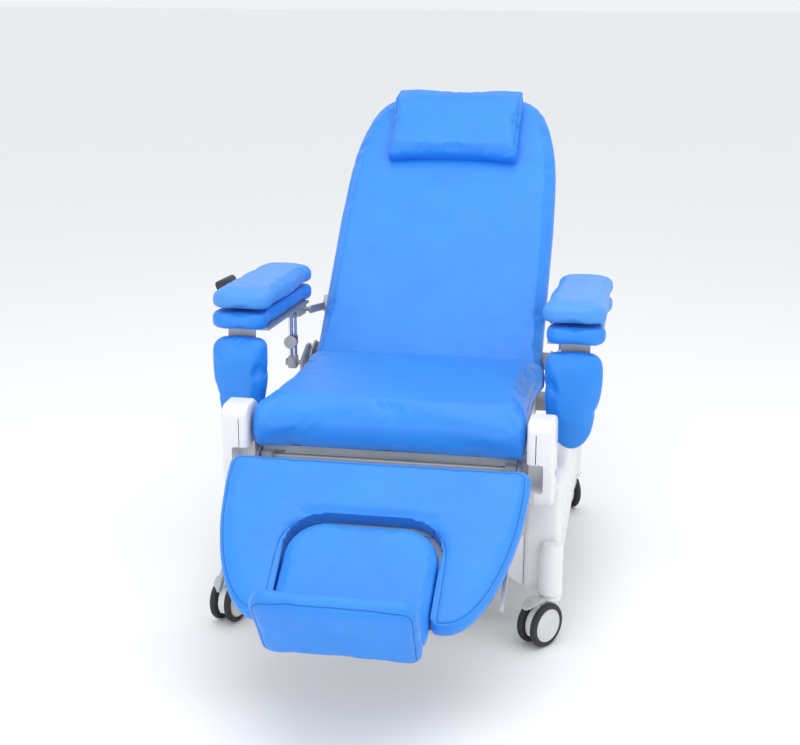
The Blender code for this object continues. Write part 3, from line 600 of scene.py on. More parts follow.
@dataclass(frozen=True)
class Leatherette:
    """Coated upholstery fabric with a fine pebble grain."""

    name: str = "blue_leatherette"
    colour: Sequence[float] = (0.012, 0.245, 0.800)
    deep: Sequence[float] = (0.006, 0.180, 0.680)
    pale: Sequence[float] = (0.020, 0.290, 0.870)
    roughness: float = 0.44

    def material(self) -> bpy.types.Material:
        """Returns the finish as a material."""
        shader = Shader(self.name, self.colour, self.roughness)
        shader.shade(shader.noise(3.2, 2.0), self.pale, 0.45)
        shader.shade(shader.noise(9.0, 4.0), self.deep, 0.35)
        grain = shader.pebbles(620)
        shader.shade(grain, self.deep, 0.30, 0.25, 0.75)
        shader.vary(shader.noise(34, 4.0), 0.06)
        shader.emboss(shader.noise(11, 4.0), 0.0024, 0.30)
        shader.emboss(shader.noise(60, 3.0), 0.0006, 0.25)
        shader.emboss(grain, 0.0005, 0.35)
        shader.set(Coat_Weight=0.06, Coat_Roughness=0.35, Sheen_Weight=0.05, Sheen_Roughness=0.5)
        return shader.material


@dataclass(frozen=True)
class Moulding:
    """Moulded plastic with a fine spark-eroded texture."""

    name: str
    colour: Sequence[float]
    soiled: Sequence[float]
    roughness: float = 0.34
    grain: float = 900.0
    depth: float = 0.00012

    def material(self) -> bpy.types.Material:
        """Returns the finish as a material."""
        shader = Shader(self.name, self.colour, self.roughness)
        shader.shade(shader.noise(5, 3.0), self.soiled, 0.35)
        shader.shade(shader.noise(70, 5.0), self.soiled, 0.25, 0.55, 0.8)
        shader.vary(shader.noise(22, 5.0), 0.07)
        shader.emboss(shader.noise(6, 2.0), 0.0005, 0.10)
        shader.emboss(shader.noise(self.grain, 2.0), self.depth, 0.6)
        shader.set(Specular_IOR_Level=0.5)
        return shader.material


@dataclass(frozen=True)
class Metal:
    """Coated, plated or brushed metal."""

    name: str
    colour: Sequence[float]
    worn: Sequence[float]
    roughness: float
    metallic: float
    stretch: Sequence[float] = (1, 1, 1)
    grain: float = 500.0
    depth: float = 0.0001

    def material(self) -> bpy.types.Material:
        """Returns the finish as a material."""
        shader = Shader(self.name, self.colour, self.roughness, self.metallic)
        shader.shade(shader.noise(30, 5.0), self.worn, 0.45, 0.45, 0.75)
        shader.vary(shader.noise(90, 5.0, self.stretch), 0.08)
        shader.emboss(shader.noise(self.grain, 3.0, self.stretch), self.depth, 0.5)
        return shader.material


@dataclass(frozen=True)
class Tread:
    """Rubber with dust in its texture."""

    name: str = "tyre_rubber"
    colour: Sequence[float] = (0.018, 0.018, 0.020)
    dust: Sequence[float] = (0.10, 0.10, 0.10)
    roughness: float = 0.62

    def material(self) -> bpy.types.Material:
        """Returns the finish as a material."""
        shader = Shader(self.name, self.colour, self.roughness)
        shader.shade(shader.noise(160, 5.0), self.dust, 0.35, 0.5, 0.8)
        shader.vary(shader.noise(60, 4.0), 0.1)
        shader.emboss(shader.noise(1100, 3.0), 0.0002, 0.5)
        return shader.material


class Palette:
    """Every finish on the chair, made once."""

    def __init__(self) -> None:
        """Makes the materials."""
        self.blue = Leatherette().material()
        # Paler copy of the blue leatherette for the upper arm pads, which face up: a painted highlight for the top
        # light falling on them.
        self.pale_blue = Leatherette(
            "worn_blue_leatherette",
            colour=(0.055, 0.290, 0.760),
            deep=(0.035, 0.240, 0.680),
            pale=(0.100, 0.340, 0.800),
            roughness=0.50,
        ).material()
        self.thread = Moulding(
            "seam_thread", (0.006, 0.110, 0.420), (0.004, 0.080, 0.330), roughness=0.55, grain=2400
        ).material()
        self.white = Moulding(
            "white_cover", (0.80, 0.80, 0.81), (0.775, 0.77, 0.765), roughness=0.30
        ).material()
        self.grey = Moulding(
            "light_grey_plastic", (0.52, 0.52, 0.525), (0.42, 0.42, 0.42), roughness=0.40
        ).material()
        self.disc = Moulding(
            "wheel_disc_plastic", (0.66, 0.66, 0.665), (0.54, 0.54, 0.54), roughness=0.36
        ).material()
        self.black = Moulding(
            "black_plastic", (0.016, 0.017, 0.019), (0.045, 0.045, 0.047), roughness=0.42, grain=1300
        ).material()
        self.keys = Moulding(
            "keypad_film", (0.10, 0.16, 0.20), (0.07, 0.10, 0.13), roughness=0.30, grain=1500
        ).material()
        self.steel = Metal(
            "silver_powder_coat", (0.40, 0.41, 0.43), (0.33, 0.34, 0.35), roughness=0.42, metallic=0.55
        ).material()
        self.chrome = Metal(
            "plated_steel",
            (0.74, 0.74, 0.76),
            (0.60, 0.60, 0.62),
            roughness=0.17,
            metallic=1.0,
            stretch=(1, 1, 0.08),
            grain=700,
            depth=0.00005,
        ).material()
        self.tyre = Tread().material()
        self.slots = {
            "upholstery": self.blue,
            "white_plastic": self.white,
            "grey_plastic": self.grey,
            "black_plastic": self.black,
            "frame_steel": self.steel,
            "bright_steel": self.chrome,
            "tyre": self.tyre,
        }


# Placing a piece


def place(
    name: str,
    mesh: bpy.types.Mesh,
    body: str,
    at: Matrix,
    material: bpy.types.Material,
    stands_for: Sequence[str] = (),
    smooth: float = 38,
) -> bpy.types.Object:
    """Puts a finished mesh on its body.

    Args:
        name: the piece's name.
        mesh: the mesh, in its sub-assembly's frame.
        body: the body it rides on.
        at: the sub-assembly's frame.
        material: its finish, unless the mesh already has materials.
        stands_for: CAD nodes that it replaces.
        smooth: edges under this angle are shaded smooth, in degrees.

    Returns:
        The new object.
    """
    mesh.transform(at)
    if at.determinant() < 0:
        mesh.flip_normals()
    if not mesh.materials:
        mesh.materials.append(material)
    mesh.shade_smooth()
    mesh.set_sharp_from_angle(angle=math.radians(smooth))
    mesh.name = name
    obj = loose(name, mesh)
    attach(obj, body)
    if stands_for:
        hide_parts(*stands_for)
    log.info("%s: %d faces on %s", name, len(mesh.polygons), body)
    return obj


def fit(
    name: str,
    bm: bmesh.types.BMesh,
    body: str,
    at: Matrix,
    material: bpy.types.Material,
    stands_for: Sequence[str] = (),
    smooth: float = 38,
) -> bpy.types.Object:
    """Does what place does, from a bmesh."""
    bmesh.ops.recalc_face_normals(bm, faces=bm.faces)
    return place(name, to_mesh(name, bm), body, at, material, stands_for, smooth)


def wire(name: str, points: Sequence[Vector], radius: float, closed: bool) -> bpy.types.Mesh:
    """Returns a round wire through points, as a mesh."""
    curve = bpy.data.curves.new(name, "CURVE")
    curve.dimensions = "3D"
    curve.bevel_depth = radius
    curve.bevel_resolution = 2
    curve.use_fill_caps = not closed
    spline = curve.splines.new("POLY")
    spline.points.add(len(points) - 1)
    for slot, point in zip(spline.points, points):
        slot.co = (*point, 1.0)
    spline.use_cyclic_u = closed
    obj = loose(name, curve)
    bpy.context.view_layer.update()
    mesh = evaluated(obj)
    bpy.data.objects.remove(obj, do_unlink=True)
    bpy.data.curves.remove(curve)
    return mesh


# Upholstery


class Seam(Enum):
    """How far a seam presses into the cushion, and how wide, in metres."""

    FINE = (0.0012, 0.0035)


@dataclass
class Stitching:
    """One seam of a cushion.

    Args:
        path: the seam's points over the cushion, before it is laid on the surface.
        towards: the direction in which it is laid on.
        kind: how deep it presses.
        closed: whether it is a loop.
        thread: radius of the seam's cord, or 0 for a bare crease.
    """

    path: list[Vector]
    towards: Vector
    kind: Seam = Seam.FINE
    closed: bool = True
    thread: float = 0.0009


@dataclass
class Cushion:
    """A padded piece: a blank that is swollen as cloth, then fitted to its box.

    Args:
        name: the piece's name.
        nodes: the CAD nodes that it replaces, one per placing.
        blank: the shape that is cut, a little smaller than the pad.
        low: lowest corner of the finished pad in its own frame.
        high: highest corner of the finished pad in its own frame.
        flat: box sides that rest on something, such as "-z".
        voxel: mesh size of the cloth.
        cap: the most a point may move while swelling.
        pressure: air pressure inside the cloth.
        fill: how full it is, from 0 to 1; not used.
        trim: a last change to the points, before the seams.
        seams: its seams.
    """

    name: str
    nodes: tuple[str, ...]
    blank: bmesh.types.BMesh
    low: Vector
    high: Vector
    flat: tuple[str, ...] = ()
    voxel: float = 0.006
    cap: float = 0.024
    pressure: float = 4.0
    fill: float = 0.8
    trim: Callable[[np.ndarray], np.ndarray] | None = None
    seams: list[Stitching] = field(default_factory=list)
    cloth: bpy.types.Object | None = None
    still: np.ndarray | None = None

    def lay_out(self) -> None:
        """Remeshes the blank into even cloth, ready to swell."""
        rough = loose(f"{self.name}_blank", to_mesh(self.name, self.blank))
        remesh = rough.modifiers.new("even", "REMESH")
        remesh.mode = "VOXEL"
        remesh.voxel_size = self.voxel
        remesh.use_smooth_shade = True
        relax = rough.modifiers.new("relax", "SMOOTH")
        relax.factor = 0.5
        relax.iterations = 4
        bpy.context.view_layer.update()
        mesh = evaluated(rough)
        bpy.data.objects.remove(rough, do_unlink=True)
        self.cloth = loose(f"{self.name}_cloth", mesh)
        self.still = points_of(mesh)

    def inflate(self) -> None:
        """Adds the cloth that will swell."""
        cloth = self.cloth.modifiers.new("swell", "CLOTH")
        cloth.settings.quality = 4
        cloth.settings.mass = 0.3
        cloth.settings.tension_stiffness = 12
        cloth.settings.compression_stiffness = 12
        cloth.settings.shear_stiffness = 6
        cloth.settings.bending_stiffness = 0.6
        cloth.settings.use_pressure = True
        cloth.settings.uniform_pressure_force = self.pressure
        cloth.settings.effector_weights.gravity = 0
        cloth.collision_settings.use_collision = False
        cloth.point_cache.frame_start = 1
        cloth.point_cache.frame_end = 20

    def settle(self) -> bpy.types.Mesh:
        """Takes the swollen shape and fits it to its box.

        Returns:
            The finished mesh in the cushion's own frame.
        """
        swollen = evaluated(self.cloth)
        points = points_of(swollen)
        moved = points - self.still
        length = np.linalg.norm(moved, axis=1, keepdims=True)
        points = self.still + moved * np.minimum(1.0, self.cap / np.maximum(length, 1e-9))
        bpy.data.meshes.remove(swollen)
        mesh = self.cloth.data.copy()
        bpy.data.objects.remove(self.cloth, do_unlink=True)
        points = self.fitted(points)
        if self.trim is not None:
            points = self.trim(points)
        put_points(mesh, points)
        obj = loose(self.name, mesh)
        finer = obj.modifiers.new("finer", "SUBSURF")
        finer.levels = finer.render_levels = 1
        bpy.context.view_layer.update()
        fine = evaluated(obj)
        bpy.data.objects.remove(obj, do_unlink=True)
        return fine

    def fitted(self, points: np.ndarray) -> np.ndarray:
        """Flattens the sides that rest on something, and scales the pad to its box.

        Args:
            points: the swollen points.

        Returns:
            The points inside the box.
        """
        axes = {"x": 0, "y": 1, "z": 2}
        still_low, still_high = self.still.min(0), self.still.max(0)
        for side in self.flat:
            axis = axes[side[1]]
            if side[0] == "-":
                points[:, axis] = np.maximum(points[:, axis], still_low[axis])
            else:
                points[:, axis] = np.minimum(points[:, axis], still_high[axis])
        low, high = points.min(0), points.max(0)
        goal_low, goal_high = np.array(self.low), np.array(self.high)
        return goal_low + (points - low) / (high - low) * (goal_high - goal_low)

    def sew(self, mesh: bpy.types.Mesh) -> list[list[Vector]]:
        """Presses the seams into the surface.

        Args:
            mesh: the finished pad.

        Returns:
            Each seam's points on the surface.
        """
        laid = []
        for seam in self.seams:
            tree = BVHTree.FromPolygons([v.co for v in mesh.vertices], [p.vertices for p in mesh.polygons])
            track = []
            for point in fine_path(seam.path, 0.002, seam.closed):
                hit = tree.ray_cast(point - seam.towards * 0.3, seam.towards, 0.6)[0]
                if hit is not None:
                    track.append(hit)
            if len(track) < 3:
                continue
            depth, width = seam.kind.value
            near = KDTree(len(track))
            for index, point in enumerate(track):
                near.insert(point, index)
            near.balance()
            points, normals = points_of(mesh), normals_of(mesh)
            low = np.zeros(len(points))
            for index, point in enumerate(points):
                distance = near.find(point)[2]
                if distance < 2.5 * width:
                    low[index] = depth * math.exp(-((distance / width) ** 2))
            put_points(mesh, points - normals * low[:, None])
            tree = BVHTree.FromPolygons([v.co for v in mesh.vertices], [p.vertices for p in mesh.polygons])
            laid.append([tree.find_nearest(point)[0] for point in track])
        return laid


class Upholsterer:
    """Swells every cushion at once and sets each on its body."""

    def __init__(self, palette: Palette) -> None:
        """Starts with no cushions.

        Args:
            palette: the chair's finishes.
        """
        self.palette = palette
        self.work: list[tuple[Cushion, Sequence[Placing], bpy.types.Material]] = []

    def order(
        self,
        cushion: Cushion,
        sets: Sequence[Placing],
        cover: bpy.types.Material | None = None,
    ) -> None:
        """Takes in a cushion.

        Args:
            cushion: the cushion to make.
            sets: (piece name, body, frame) of each place it goes.
            cover: its finish, if not the usual blue.
        """
        cushion.lay_out()
        self.work.append((cushion, sets, cover or self.palette.blue))

    def make_all(self) -> None:
        """Runs the cloth once for all cushions, then finishes and places them."""
        scene = bpy.context.scene
        for cushion, _, _ in self.work:
            cushion.inflate()
        for step in range(1, 21):
            scene.frame_set(step)
        for cushion, sets, cover in self.work:
            mesh = cushion.settle()
            threads = cushion.sew(mesh)
            for index, (name, body, at) in enumerate(sets):
                pad = place(name, mesh.copy(), body, at, cover, (cushion.nodes[index],), 60)
                for number, (seam, track) in enumerate(zip(cushion.seams, threads)):
                    if seam.thread:
                        label = f"{name}_seam_{number}"
                        cord = wire(label, track[::2], seam.thread, seam.closed)
                        place(label, cord, body, at, self.palette.thread)
            bpy.data.meshes.remove(mesh)
        scene.frame_set(1)


def blank_edges(bm: bmesh.types.BMesh, width: float, segments: int = 4) -> bmesh.types.BMesh:
    """Rounds all the sharp edges of a cushion's blank."""
    return soften(bm, width, segments, None, 50)


@dataclass
class SeatAndBack:
    """The seat, backrest and pillow cushions.

    Args:
        seat_half: half the seat's width.
        seat_front: Y of the seat's front.
        seat_rear: Y of the seat's rear.
        seat_low: Z of the seat's underside.
        seat_high_front: Z of its top at the front.
        seat_high_rear: Z of its top at the rear.
        roll: radius of the backrest's round lower end.
        back_rear: Y of the backrest pad's rear face in the backrest's frame.
        back_half: half the backrest's width.
        back_length: length of the backrest above its hinge.
        pillow_half: half the pillow's width.
        pillow_low: Z of the pillow's lower edge in the backrest's frame.
        pillow_thick: thickness of the pillow.
    """

    seat_half: float = 0.312
    seat_front: float = -0.482
    seat_rear: float = 0.0775
    seat_low: float = 0.449
    seat_high_front: float = 0.554
    seat_high_rear: float = 0.531
    roll: float = 0.0605
    back_rear: float = 0.0095
    back_half: float = 0.311
    back_length: float = 0.885
    pillow_half: float = 0.185
    pillow_low: float = 0.630
    pillow_thick: float = 0.055

    def seat(self) -> Cushion:
        """Returns the seat cushion."""
        shrink = 0.005
        profile = [
            (self.seat_rear - shrink, self.seat_low, 0.012),
            (self.seat_rear - shrink, self.seat_high_rear - shrink, 0.024),
            (self.seat_front + shrink, self.seat_high_front - shrink, 0.052),
            (self.seat_front + shrink, self.seat_low, 0.030),
        ]
        half = self.seat_half - shrink
        bm = blank_edges(plate(profile, Plane.SIDE, -half, half, 8), 0.018)

        def keep_clear(points: np.ndarray) -> np.ndarray:
            """Keeps the rear off the backrest's roll."""
            points[:, 1] = np.minimum(points[:, 1], self.seat_rear - 0.0005)
            return points

        side = [
            Vector((0, self.seat_front + 0.010, self.seat_low + 0.030)),
            Vector((0, self.seat_front + 0.020, self.seat_low + 0.052)),
            Vector((0, self.seat_rear - 0.030, self.seat_low + 0.046)),
        ]
        seams = [
            Stitching(side, Vector((-s, 0, 0)), closed=False, thread=0.0007) for s in (1, -1)
        ]
        return Cushion(
            "seat_upholstery",
            ("seat_cushion",),
            bm,
            Vector((-self.seat_half - 0.003, self.seat_front - 0.004, self.seat_low)),
            Vector((self.seat_half + 0.003, self.seat_rear - 0.0005, self.seat_high_front + 0.012)),
            ("-z",),
            0.0065,
            0.022,
            trim=keep_clear,
            seams=seams,
        )

    def back_outline(self, inset: float) -> list[Corner]:
        """Returns the backrest's outline, moved inwards by inset."""
        wide = self.back_half - inset
        top = self.back_length - inset
        half = bezier([(0.150, top), (wide - 0.052, top), (wide - 0.009, 0.74), (wide - 0.003, 0.56)], 10)
        half += [(wide, 0.45, 0.0), (wide, -self.roll, 0.0)]
        return both_halves(half)

    def back(self) -> Cushion:
        """Returns the backrest cushion, whose lower end is round about the hinge."""
        shrink = 0.005
        front = -self.roll + shrink
        body = blank_edges(plate(self.back_outline(shrink), Plane.FRONT, front, self.back_rear), 0.015)
        profile = [
            (front, front, -front * 0.99),
            (self.back_rear, front, 0.004),
            (self.back_rear, 1.0, 0.0),
            (front, 1.0, 0.0),
        ]
        keep = plate(profile, Plane.SIDE, -0.5, 0.5, 12)
        obj = loose("back_keep", to_mesh("back_keep", keep))
        blank = loose("back_blank", to_mesh("back_blank", body))
        cut = blank.modifiers.new("round end", "BOOLEAN")
        cut.operation = "INTERSECT"
        cut.object = obj
        bpy.context.view_layer.update()
        bm = as_bmesh(evaluated(blank))
        for gone in (obj, blank):
            bpy.data.objects.remove(gone, do_unlink=True)
        proud = 0.007

        def round_end(points: np.ndarray) -> np.ndarray:
            """Keeps the lower end inside its roll about the hinge."""
            y, z = points[:, 1], points[:, 2]
            radius = np.hypot(y, z)
            low = z < 0
            shrinkage = np.where(low & (radius > self.roll), self.roll / np.maximum(radius, 1e-9), 1.0)
            points[:, 1] = y * shrinkage
            points[:, 2] = z * shrinkage
            limit = -self.roll - proud * np.clip(z / 0.12, 0, 1)
            points[:, 1] = np.where(z >= 0, np.maximum(points[:, 1], limit), points[:, 1])
            return points

        return Cushion(
            "back_upholstery",
            ("back_cushion",),
            bm,
            Vector((-self.back_half - 0.003, -self.roll - proud, -self.roll)),
            Vector((self.back_half + 0.003, self.back_rear, self.back_length + 0.004)),
            ("+y",),
            0.0065,
            0.022,
            trim=round_end,
            seams=[
                Stitching(
                    [Vector((s * 0.5, -0.012, z)) for z in (0.02, 0.2, 0.4, 0.6, 0.70)],
                    Vector((-s, 0, 0)),
                    closed=False,
                    thread=0.0007,
                )
                for s in (1, -1)
            ],
        )

    def pillow(self) -> Cushion:
        """Returns the head pillow."""
        front = -self.roll - 0.0003
        top = self.back_length + 0.0097
        shrink = 0.004
        profile = [
            (front, self.pillow_low + shrink, 0.010),
            (front, top - 0.004, 0.004),
            (front - 0.012, top - 0.003, 0.010),
            (front - self.pillow_thick + shrink, top - 0.066, 0.055),
            (front - self.pillow_thick + shrink, self.pillow_low + shrink, 0.024),
        ]
        half = self.pillow_half - shrink
        bm = blank_edges(plate(profile, Plane.SIDE, -half, half, 8), 0.008)
        levels = (self.pillow_low + 0.012, self.pillow_low + 0.045, top - 0.02)
        return Cushion(
            "pillow_upholstery",
            ("head_pillow",),
            bm,
            Vector((-self.pillow_half - 0.001, front - self.pillow_thick - 0.004, self.pillow_low)),
            Vector((self.pillow_half + 0.001, front, top - 0.001)),
            ("+y",),
            0.005,
            0.012,
            fill=0.7,
            seams=[
                Stitching(
                    [Vector((s * self.pillow_half * 0.955, 0, z)) for z in levels],
                    Vector((0, 1, 0)),
                    closed=False,
                    thread=0.0007,
                )
                for s in (1, -1)
            ],
        )

    def flap(self, palette: Palette) -> None:
        """Makes the flap that holds the pillow over the top of the backrest."""
        front = -self.roll + 0.002
        top = self.back_length + 0.0050
        behind = 0.0242
        thick = 0.0048
        hook = [
            (front - 0.004, top - 0.040, 0.001),
            (front - 0.001, top + thick, 0.006),
            (behind + thick, top + thick, 0.010),
            (behind + thick, top - 0.085, 0.002),
            (behind, top - 0.085, 0.001),
            (behind, top, 0.006),
            (front + 0.004, top, 0.003),
            (front + 0.004, top - 0.040, 0.001),
        ]
        bm = plate(hook, Plane.SIDE, -self.pillow_half + 0.006, self.pillow_half - 0.006, 6)
        soften(bm, 0.0016, 2, lambda e: abs(e.verts[0].co.x - e.verts[1].co.x) < 1e-5)
        fit("pillow_flap", bm, "backrest", PLACES.back, palette.blue)


@dataclass
class LegAndFoot:
    """The leg cushion, calf pad and foot board.

    Args:
        start: distance of the cushion's upper edge from the hinge.
        length: length of the leg cushion.
        face: height of its face over the hinge.
        thick: its thickness.
        half: half its width.
        notch_start: from the upper edge to the notch.
        notch_half: half the notch's width.
        foot_at: from the upper edge to the foot board.
        foot_half: half the foot board's width.
        foot_high: height of the foot board over the carrier.
    """

    start: float = 0.0744
    length: float = 0.407
    face: float = 0.1023
    thick: float = 0.045
    half: float = 0.337
    notch_start: float = 0.165
    notch_half: float = 0.169
    foot_at: float = 0.447
    foot_half: float = 0.163
    foot_high: float = 0.210

    @property
    def foot(self) -> Matrix:
        """Returns the foot board's frame on the leg rest."""
        return PLACES.leg @ Matrix.Translation((0, -self.start - self.foot_at, self.face - self.thick))

    def leg_outline(self, inset: float) -> list[Corner]:
        """Returns the leg cushion's outline, moved inwards by inset."""
        top = -self.start - inset
        end = -self.start - self.length + inset
        wide = self.half - inset
        notch = self.notch_half + inset
        half = [(wide - 0.001, top, 0.030), (wide, top - 0.075, 0.0)]
        sweep = [(wide - 0.005, top - 0.140), (wide - 0.017, top - 0.240), (wide - 0.062, end), (0.195, end)]
        half += bezier(sweep, 10)
        half += [(notch, end, 0.014), (notch, -self.start - self.notch_start + inset, 0.088)]
        return both_halves(half)

    def leg(self) -> Cushion:
        """Returns the leg cushion with its notch."""
        shrink = 0.003
        low = self.face - self.thick
        bm = plate(self.leg_outline(shrink), Plane.TOP, low, self.face - shrink, 8)
        blank_edges(bm, 0.012)
        return Cushion(
            "leg_upholstery",
            ("leg_cushion",),
            bm,
            Vector((-self.half - 0.001, -self.start - self.length - 0.001, low)),
            Vector((self.half + 0.001, -self.start + 0.003, self.face + 0.004)),
            ("-z",),
            0.0055,
            0.010,
            seams=[Stitching(rounded_path(self.leg_outline(0), Plane.TOP, 0.2, 0.0115), Vector((0, 0, -1)))],
        )

    def calf(self) -> Cushion:
        """Returns the calf pad that fills the notch."""
        half = self.notch_half - 0.005
        reach = self.foot_at - self.notch_start - 0.005
        shrink = 0.003
        outline = [
            (-half + shrink, -0.004 + shrink, 0.034),
            (half - shrink, -0.004 + shrink, 0.034),
            (half - shrink, reach - shrink, 0.083),
            (-half + shrink, reach - shrink, 0.083),
        ]
        bm = blank_edges(plate(outline, Plane.TOP, 0.0056, 0.0416, 8), 0.010)
        return Cushion(
            "calf_upholstery",
            ("calf_pad",),
            bm,
            Vector((-half - 0.001, -0.004, 0.0056)),
            Vector((half + 0.001, reach + 0.001, 0.0475)),
            ("-z",),
            0.005,
            0.008,
        )

    def board(self) -> Cushion:
        """Returns the foot board's pad."""
        shrink = 0.003
        outline = [
            (-self.foot_half + 0.002, 0.019, 0.028),
            (self.foot_half - 0.002, 0.019, 0.028),
            (self.foot_half + 0.003, self.foot_high, 0.036),
            (-self.foot_half - 0.003, self.foot_high, 0.036),
        ]
        middle = self.foot_high / 2
        inner = [
            (u - math.copysign(shrink, u), v - math.copysign(shrink, v - middle), r) for u, v, r in outline
        ]
        bm = blank_edges(plate(inner, Plane.FRONT, -0.0398, -0.0053, 8), 0.009)
        return Cushion(
            "foot_upholstery",
            ("foot_pad",),
            bm,
            Vector((-self.foot_half - 0.004, -0.0445, 0.018)),
            Vector((self.foot_half + 0.004, -0.0053, self.foot_high + 0.001)),
            ("+y",),
            0.005,
            0.007,
            seams=[Stitching(rounded_path(outline, Plane.FRONT, 0, 0.0075), Vector((0, 1, 0)))],
        )


@dataclass
class ArmPads:
    """The armrests' lower pads, swivelling upper pads and front shields, drawn for the right side.

    Args:
        inner: X of the pads' inner edge from the chair's middle.
        width: their width.
        front: Y of their front in the armrest's frame.
        rear: Y of their rear.
        low: Z of the lower pad's underside.
        lower: thickness of the lower pad.
        upper: thickness of the upper pad.
        shield: thickness of the shield.
        shield_top: Z of its upper edge.
        drop: height of the shield.
        swivel: (x, y) of the upper pad's pivot.
        shrink: how much smaller than the pad its blank is.
    """

    inner: float = 0.3375
    width: float = 0.1365
    front: float = -0.3595
    rear: float = 0.150
    low: float = 0.0140
    lower: float = 0.040
    upper: float = 0.047
    shield: float = 0.045
    shield_top: float = -0.0057
    drop: float = 0.232
    swivel: Pair = (0.400, 0.050)
    shrink: float = 0.003

    def lower_pad(self) -> Cushion:
        """Returns the lower pad, which carries the upper one."""
        s = self.shrink
        out = self.inner + self.width
        outline = [
            (self.inner + s, self.front + s, 0.032),
            (out - s, self.front + s, 0.038),
            (out + 0.002 - s, self.rear - s, 0.030),
            (self.inner + s, self.rear - s, 0.030),
        ]
        bm = blank_edges(plate(outline, Plane.TOP, self.low, self.low + self.lower, 8), 0.013)
        return Cushion(
            "lower_pad",
            ("arm_lower_pad_right", "arm_lower_pad_left"),
            bm,
            Vector((self.inner - 0.0005, self.front - 0.003, self.low)),
            Vector((out + 0.0035, self.rear + 0.002, self.low + self.lower)),
            ("-z", "+z"),
            0.005,
            0.010,
        )

    def upper_outline(self, inset: float) -> list[Corner]:
        """Returns the upper pad's outline about its pivot, moved inwards by inset."""
        out = self.inner + self.width
        x, y = self.swivel
        corners = [
            (self.inner - 0.006 + inset, self.front + inset, 0.034),
            (out - 0.006 - inset, self.front + inset, 0.042),
            (out + 0.002 - inset, self.front + 0.26, 0.20),
            (out - 0.004 - inset, self.rear - inset, 0.038),
            (self.inner + 0.004 + inset, self.rear - inset, 0.036),
            (self.inner - 0.010 + inset, self.front + 0.24, 0.16),
        ]
        return [(u - x, v - y, r) for u, v, r in corners]

    def upper_pad(self) -> Cushion:
        """Returns the swivelling upper pad, with a flat top and wide sloping sides."""
        s = self.shrink
        bm = plate(self.upper_outline(s), Plane.TOP, 0.0, self.upper - s, 8)
        soften(bm, 0.020, 4, lambda e: min(v.co.z for v in e.verts) > self.upper - s - 1e-5, 50)
        soften(bm, 0.010, 3, lambda e: max(v.co.z for v in e.verts) < 1e-5, 50)
        x, y = self.swivel
        out = self.inner + self.width
        return Cushion(
            "upper_pad",
            ("arm_upper_pad_right", "arm_upper_pad_left"),
            bm,
            Vector((self.inner - 0.0115 - x, self.front - 0.003 - y, 0.0)),
            Vector((out + 0.003 - x, self.rear + 0.002 - y, self.upper + 0.003)),
            ("-z",),
            0.005,
            0.009,
        )

    def shield_outline(self) -> list[Corner]:
        """Returns the shield's outline."""
        top = self.shield_top
        out = self.inner + self.width
        return [
            (self.inner + 0.002, top, 0.022),
            (out - 0.003, top, 0.030),
            (out - 0.002, top - 0.100, 0.10),
            (out - 0.028, top - 0.205, 0.06),
            (self.inner + 0.064, top - self.drop, 0.05),
            (self.inner + 0.018, top - 0.195, 0.05),
            (self.inner - 0.001, top - 0.110, 0.06),
        ]

    def shield_pad(self) -> Cushion:
        """Returns the padded shield that hangs at the front of the armrest."""
        outline = self.shield_outline()
        s = self.shrink
        middle = Vector((self.inner + self.width / 2, -0.12))
        inner = []
        for u, v, r in outline:
            towards = (middle - Vector((u, v))).normalized() * s
            inner.append((u + towards.x, v + towards.y, r))
        bm = blank_edges(plate(inner, Plane.FRONT, self.front + s, self.front + self.shield, 8), 0.011)
        out = self.inner + self.width
        return Cushion(
            "shield",
            ("arm_shield_right", "arm_shield_left"),
            bm,
            Vector((self.inner - 0.0015, self.front - 0.003, self.shield_top - self.drop)),
            Vector((out - 0.0015, self.front + self.shield, self.shield_top)),
            ("+y",),
            0.005,
            0.009,
            seams=[Stitching(rounded_path(outline, Plane.FRONT, 0, 0.0125), Vector((0, 1, 0)))],
        )


def upholster(palette: Palette) -> None:
    """Makes and places every cushion and pad."""
    shop = Upholsterer(palette)
    chair = PLACES.chair
    trunk = SeatAndBack()
    shop.order(trunk.seat(), [("seat_upholstery", "base", chair)])
    shop.order(trunk.back(), [("back_upholstery", "backrest", PLACES.back)])
    shop.order(trunk.pillow(), [("pillow_upholstery", "backrest", PLACES.back)])
    limbs = LegAndFoot()
    shop.order(limbs.leg(), [("leg_upholstery", "leg_rest", PLACES.leg)])
    shop.order(limbs.calf(), [("calf_upholstery", "foot_rest", limbs.foot)])
    shop.order(limbs.board(), [("foot_upholstery", "foot_rest", limbs.foot)])
    arms = ArmPads()
    order = (Side.RIGHT, Side.LEFT)
    for pad in (arms.lower_pad(), arms.shield_pad()):
        sets = [(f"{pad.name}_{s.word}", f"armrest_{s.word}", PLACES.arm(s) @ s.flip) for s in order]
        shop.order(pad, sets)
    pad = arms.upper_pad()
    sets = [(f"{pad.name}_{s.word}", f"arm_pad_{s.word}", PLACES.swivel(s) @ s.flip) for s in order]
    # The upper pads take the paler blue, a painted highlight on their upward faces.
    shop.order(pad, sets, palette.pale_blue)
    shop.make_all()
    trunk.flap(palette)


# Hard parts


def screw_head(radius: float, height: float) -> bmesh.types.BMesh:
    """Returns a low domed screw head facing up, with a six-sided socket."""
    profile = [
        (0, 0),
        (0, radius),
        (height * 0.45, radius),
        (height * 0.85, radius * 0.8),
        (height, radius * 0.5),
        (height, 0),
    ]
    head = turned(profile, Vector((0, 0, 1)), 24)
    socket = bmesh.new()
    bmesh.ops.create_cone(
        socket,
        cap_ends=True,
        segments=6,
        radius1=radius * 0.42,
        radius2=radius * 0.42,
        depth=height * 1.2,
        matrix=Matrix.Translation((0, 0, height)),
    )
    return as_bmesh(carved("screw", head, [socket]))


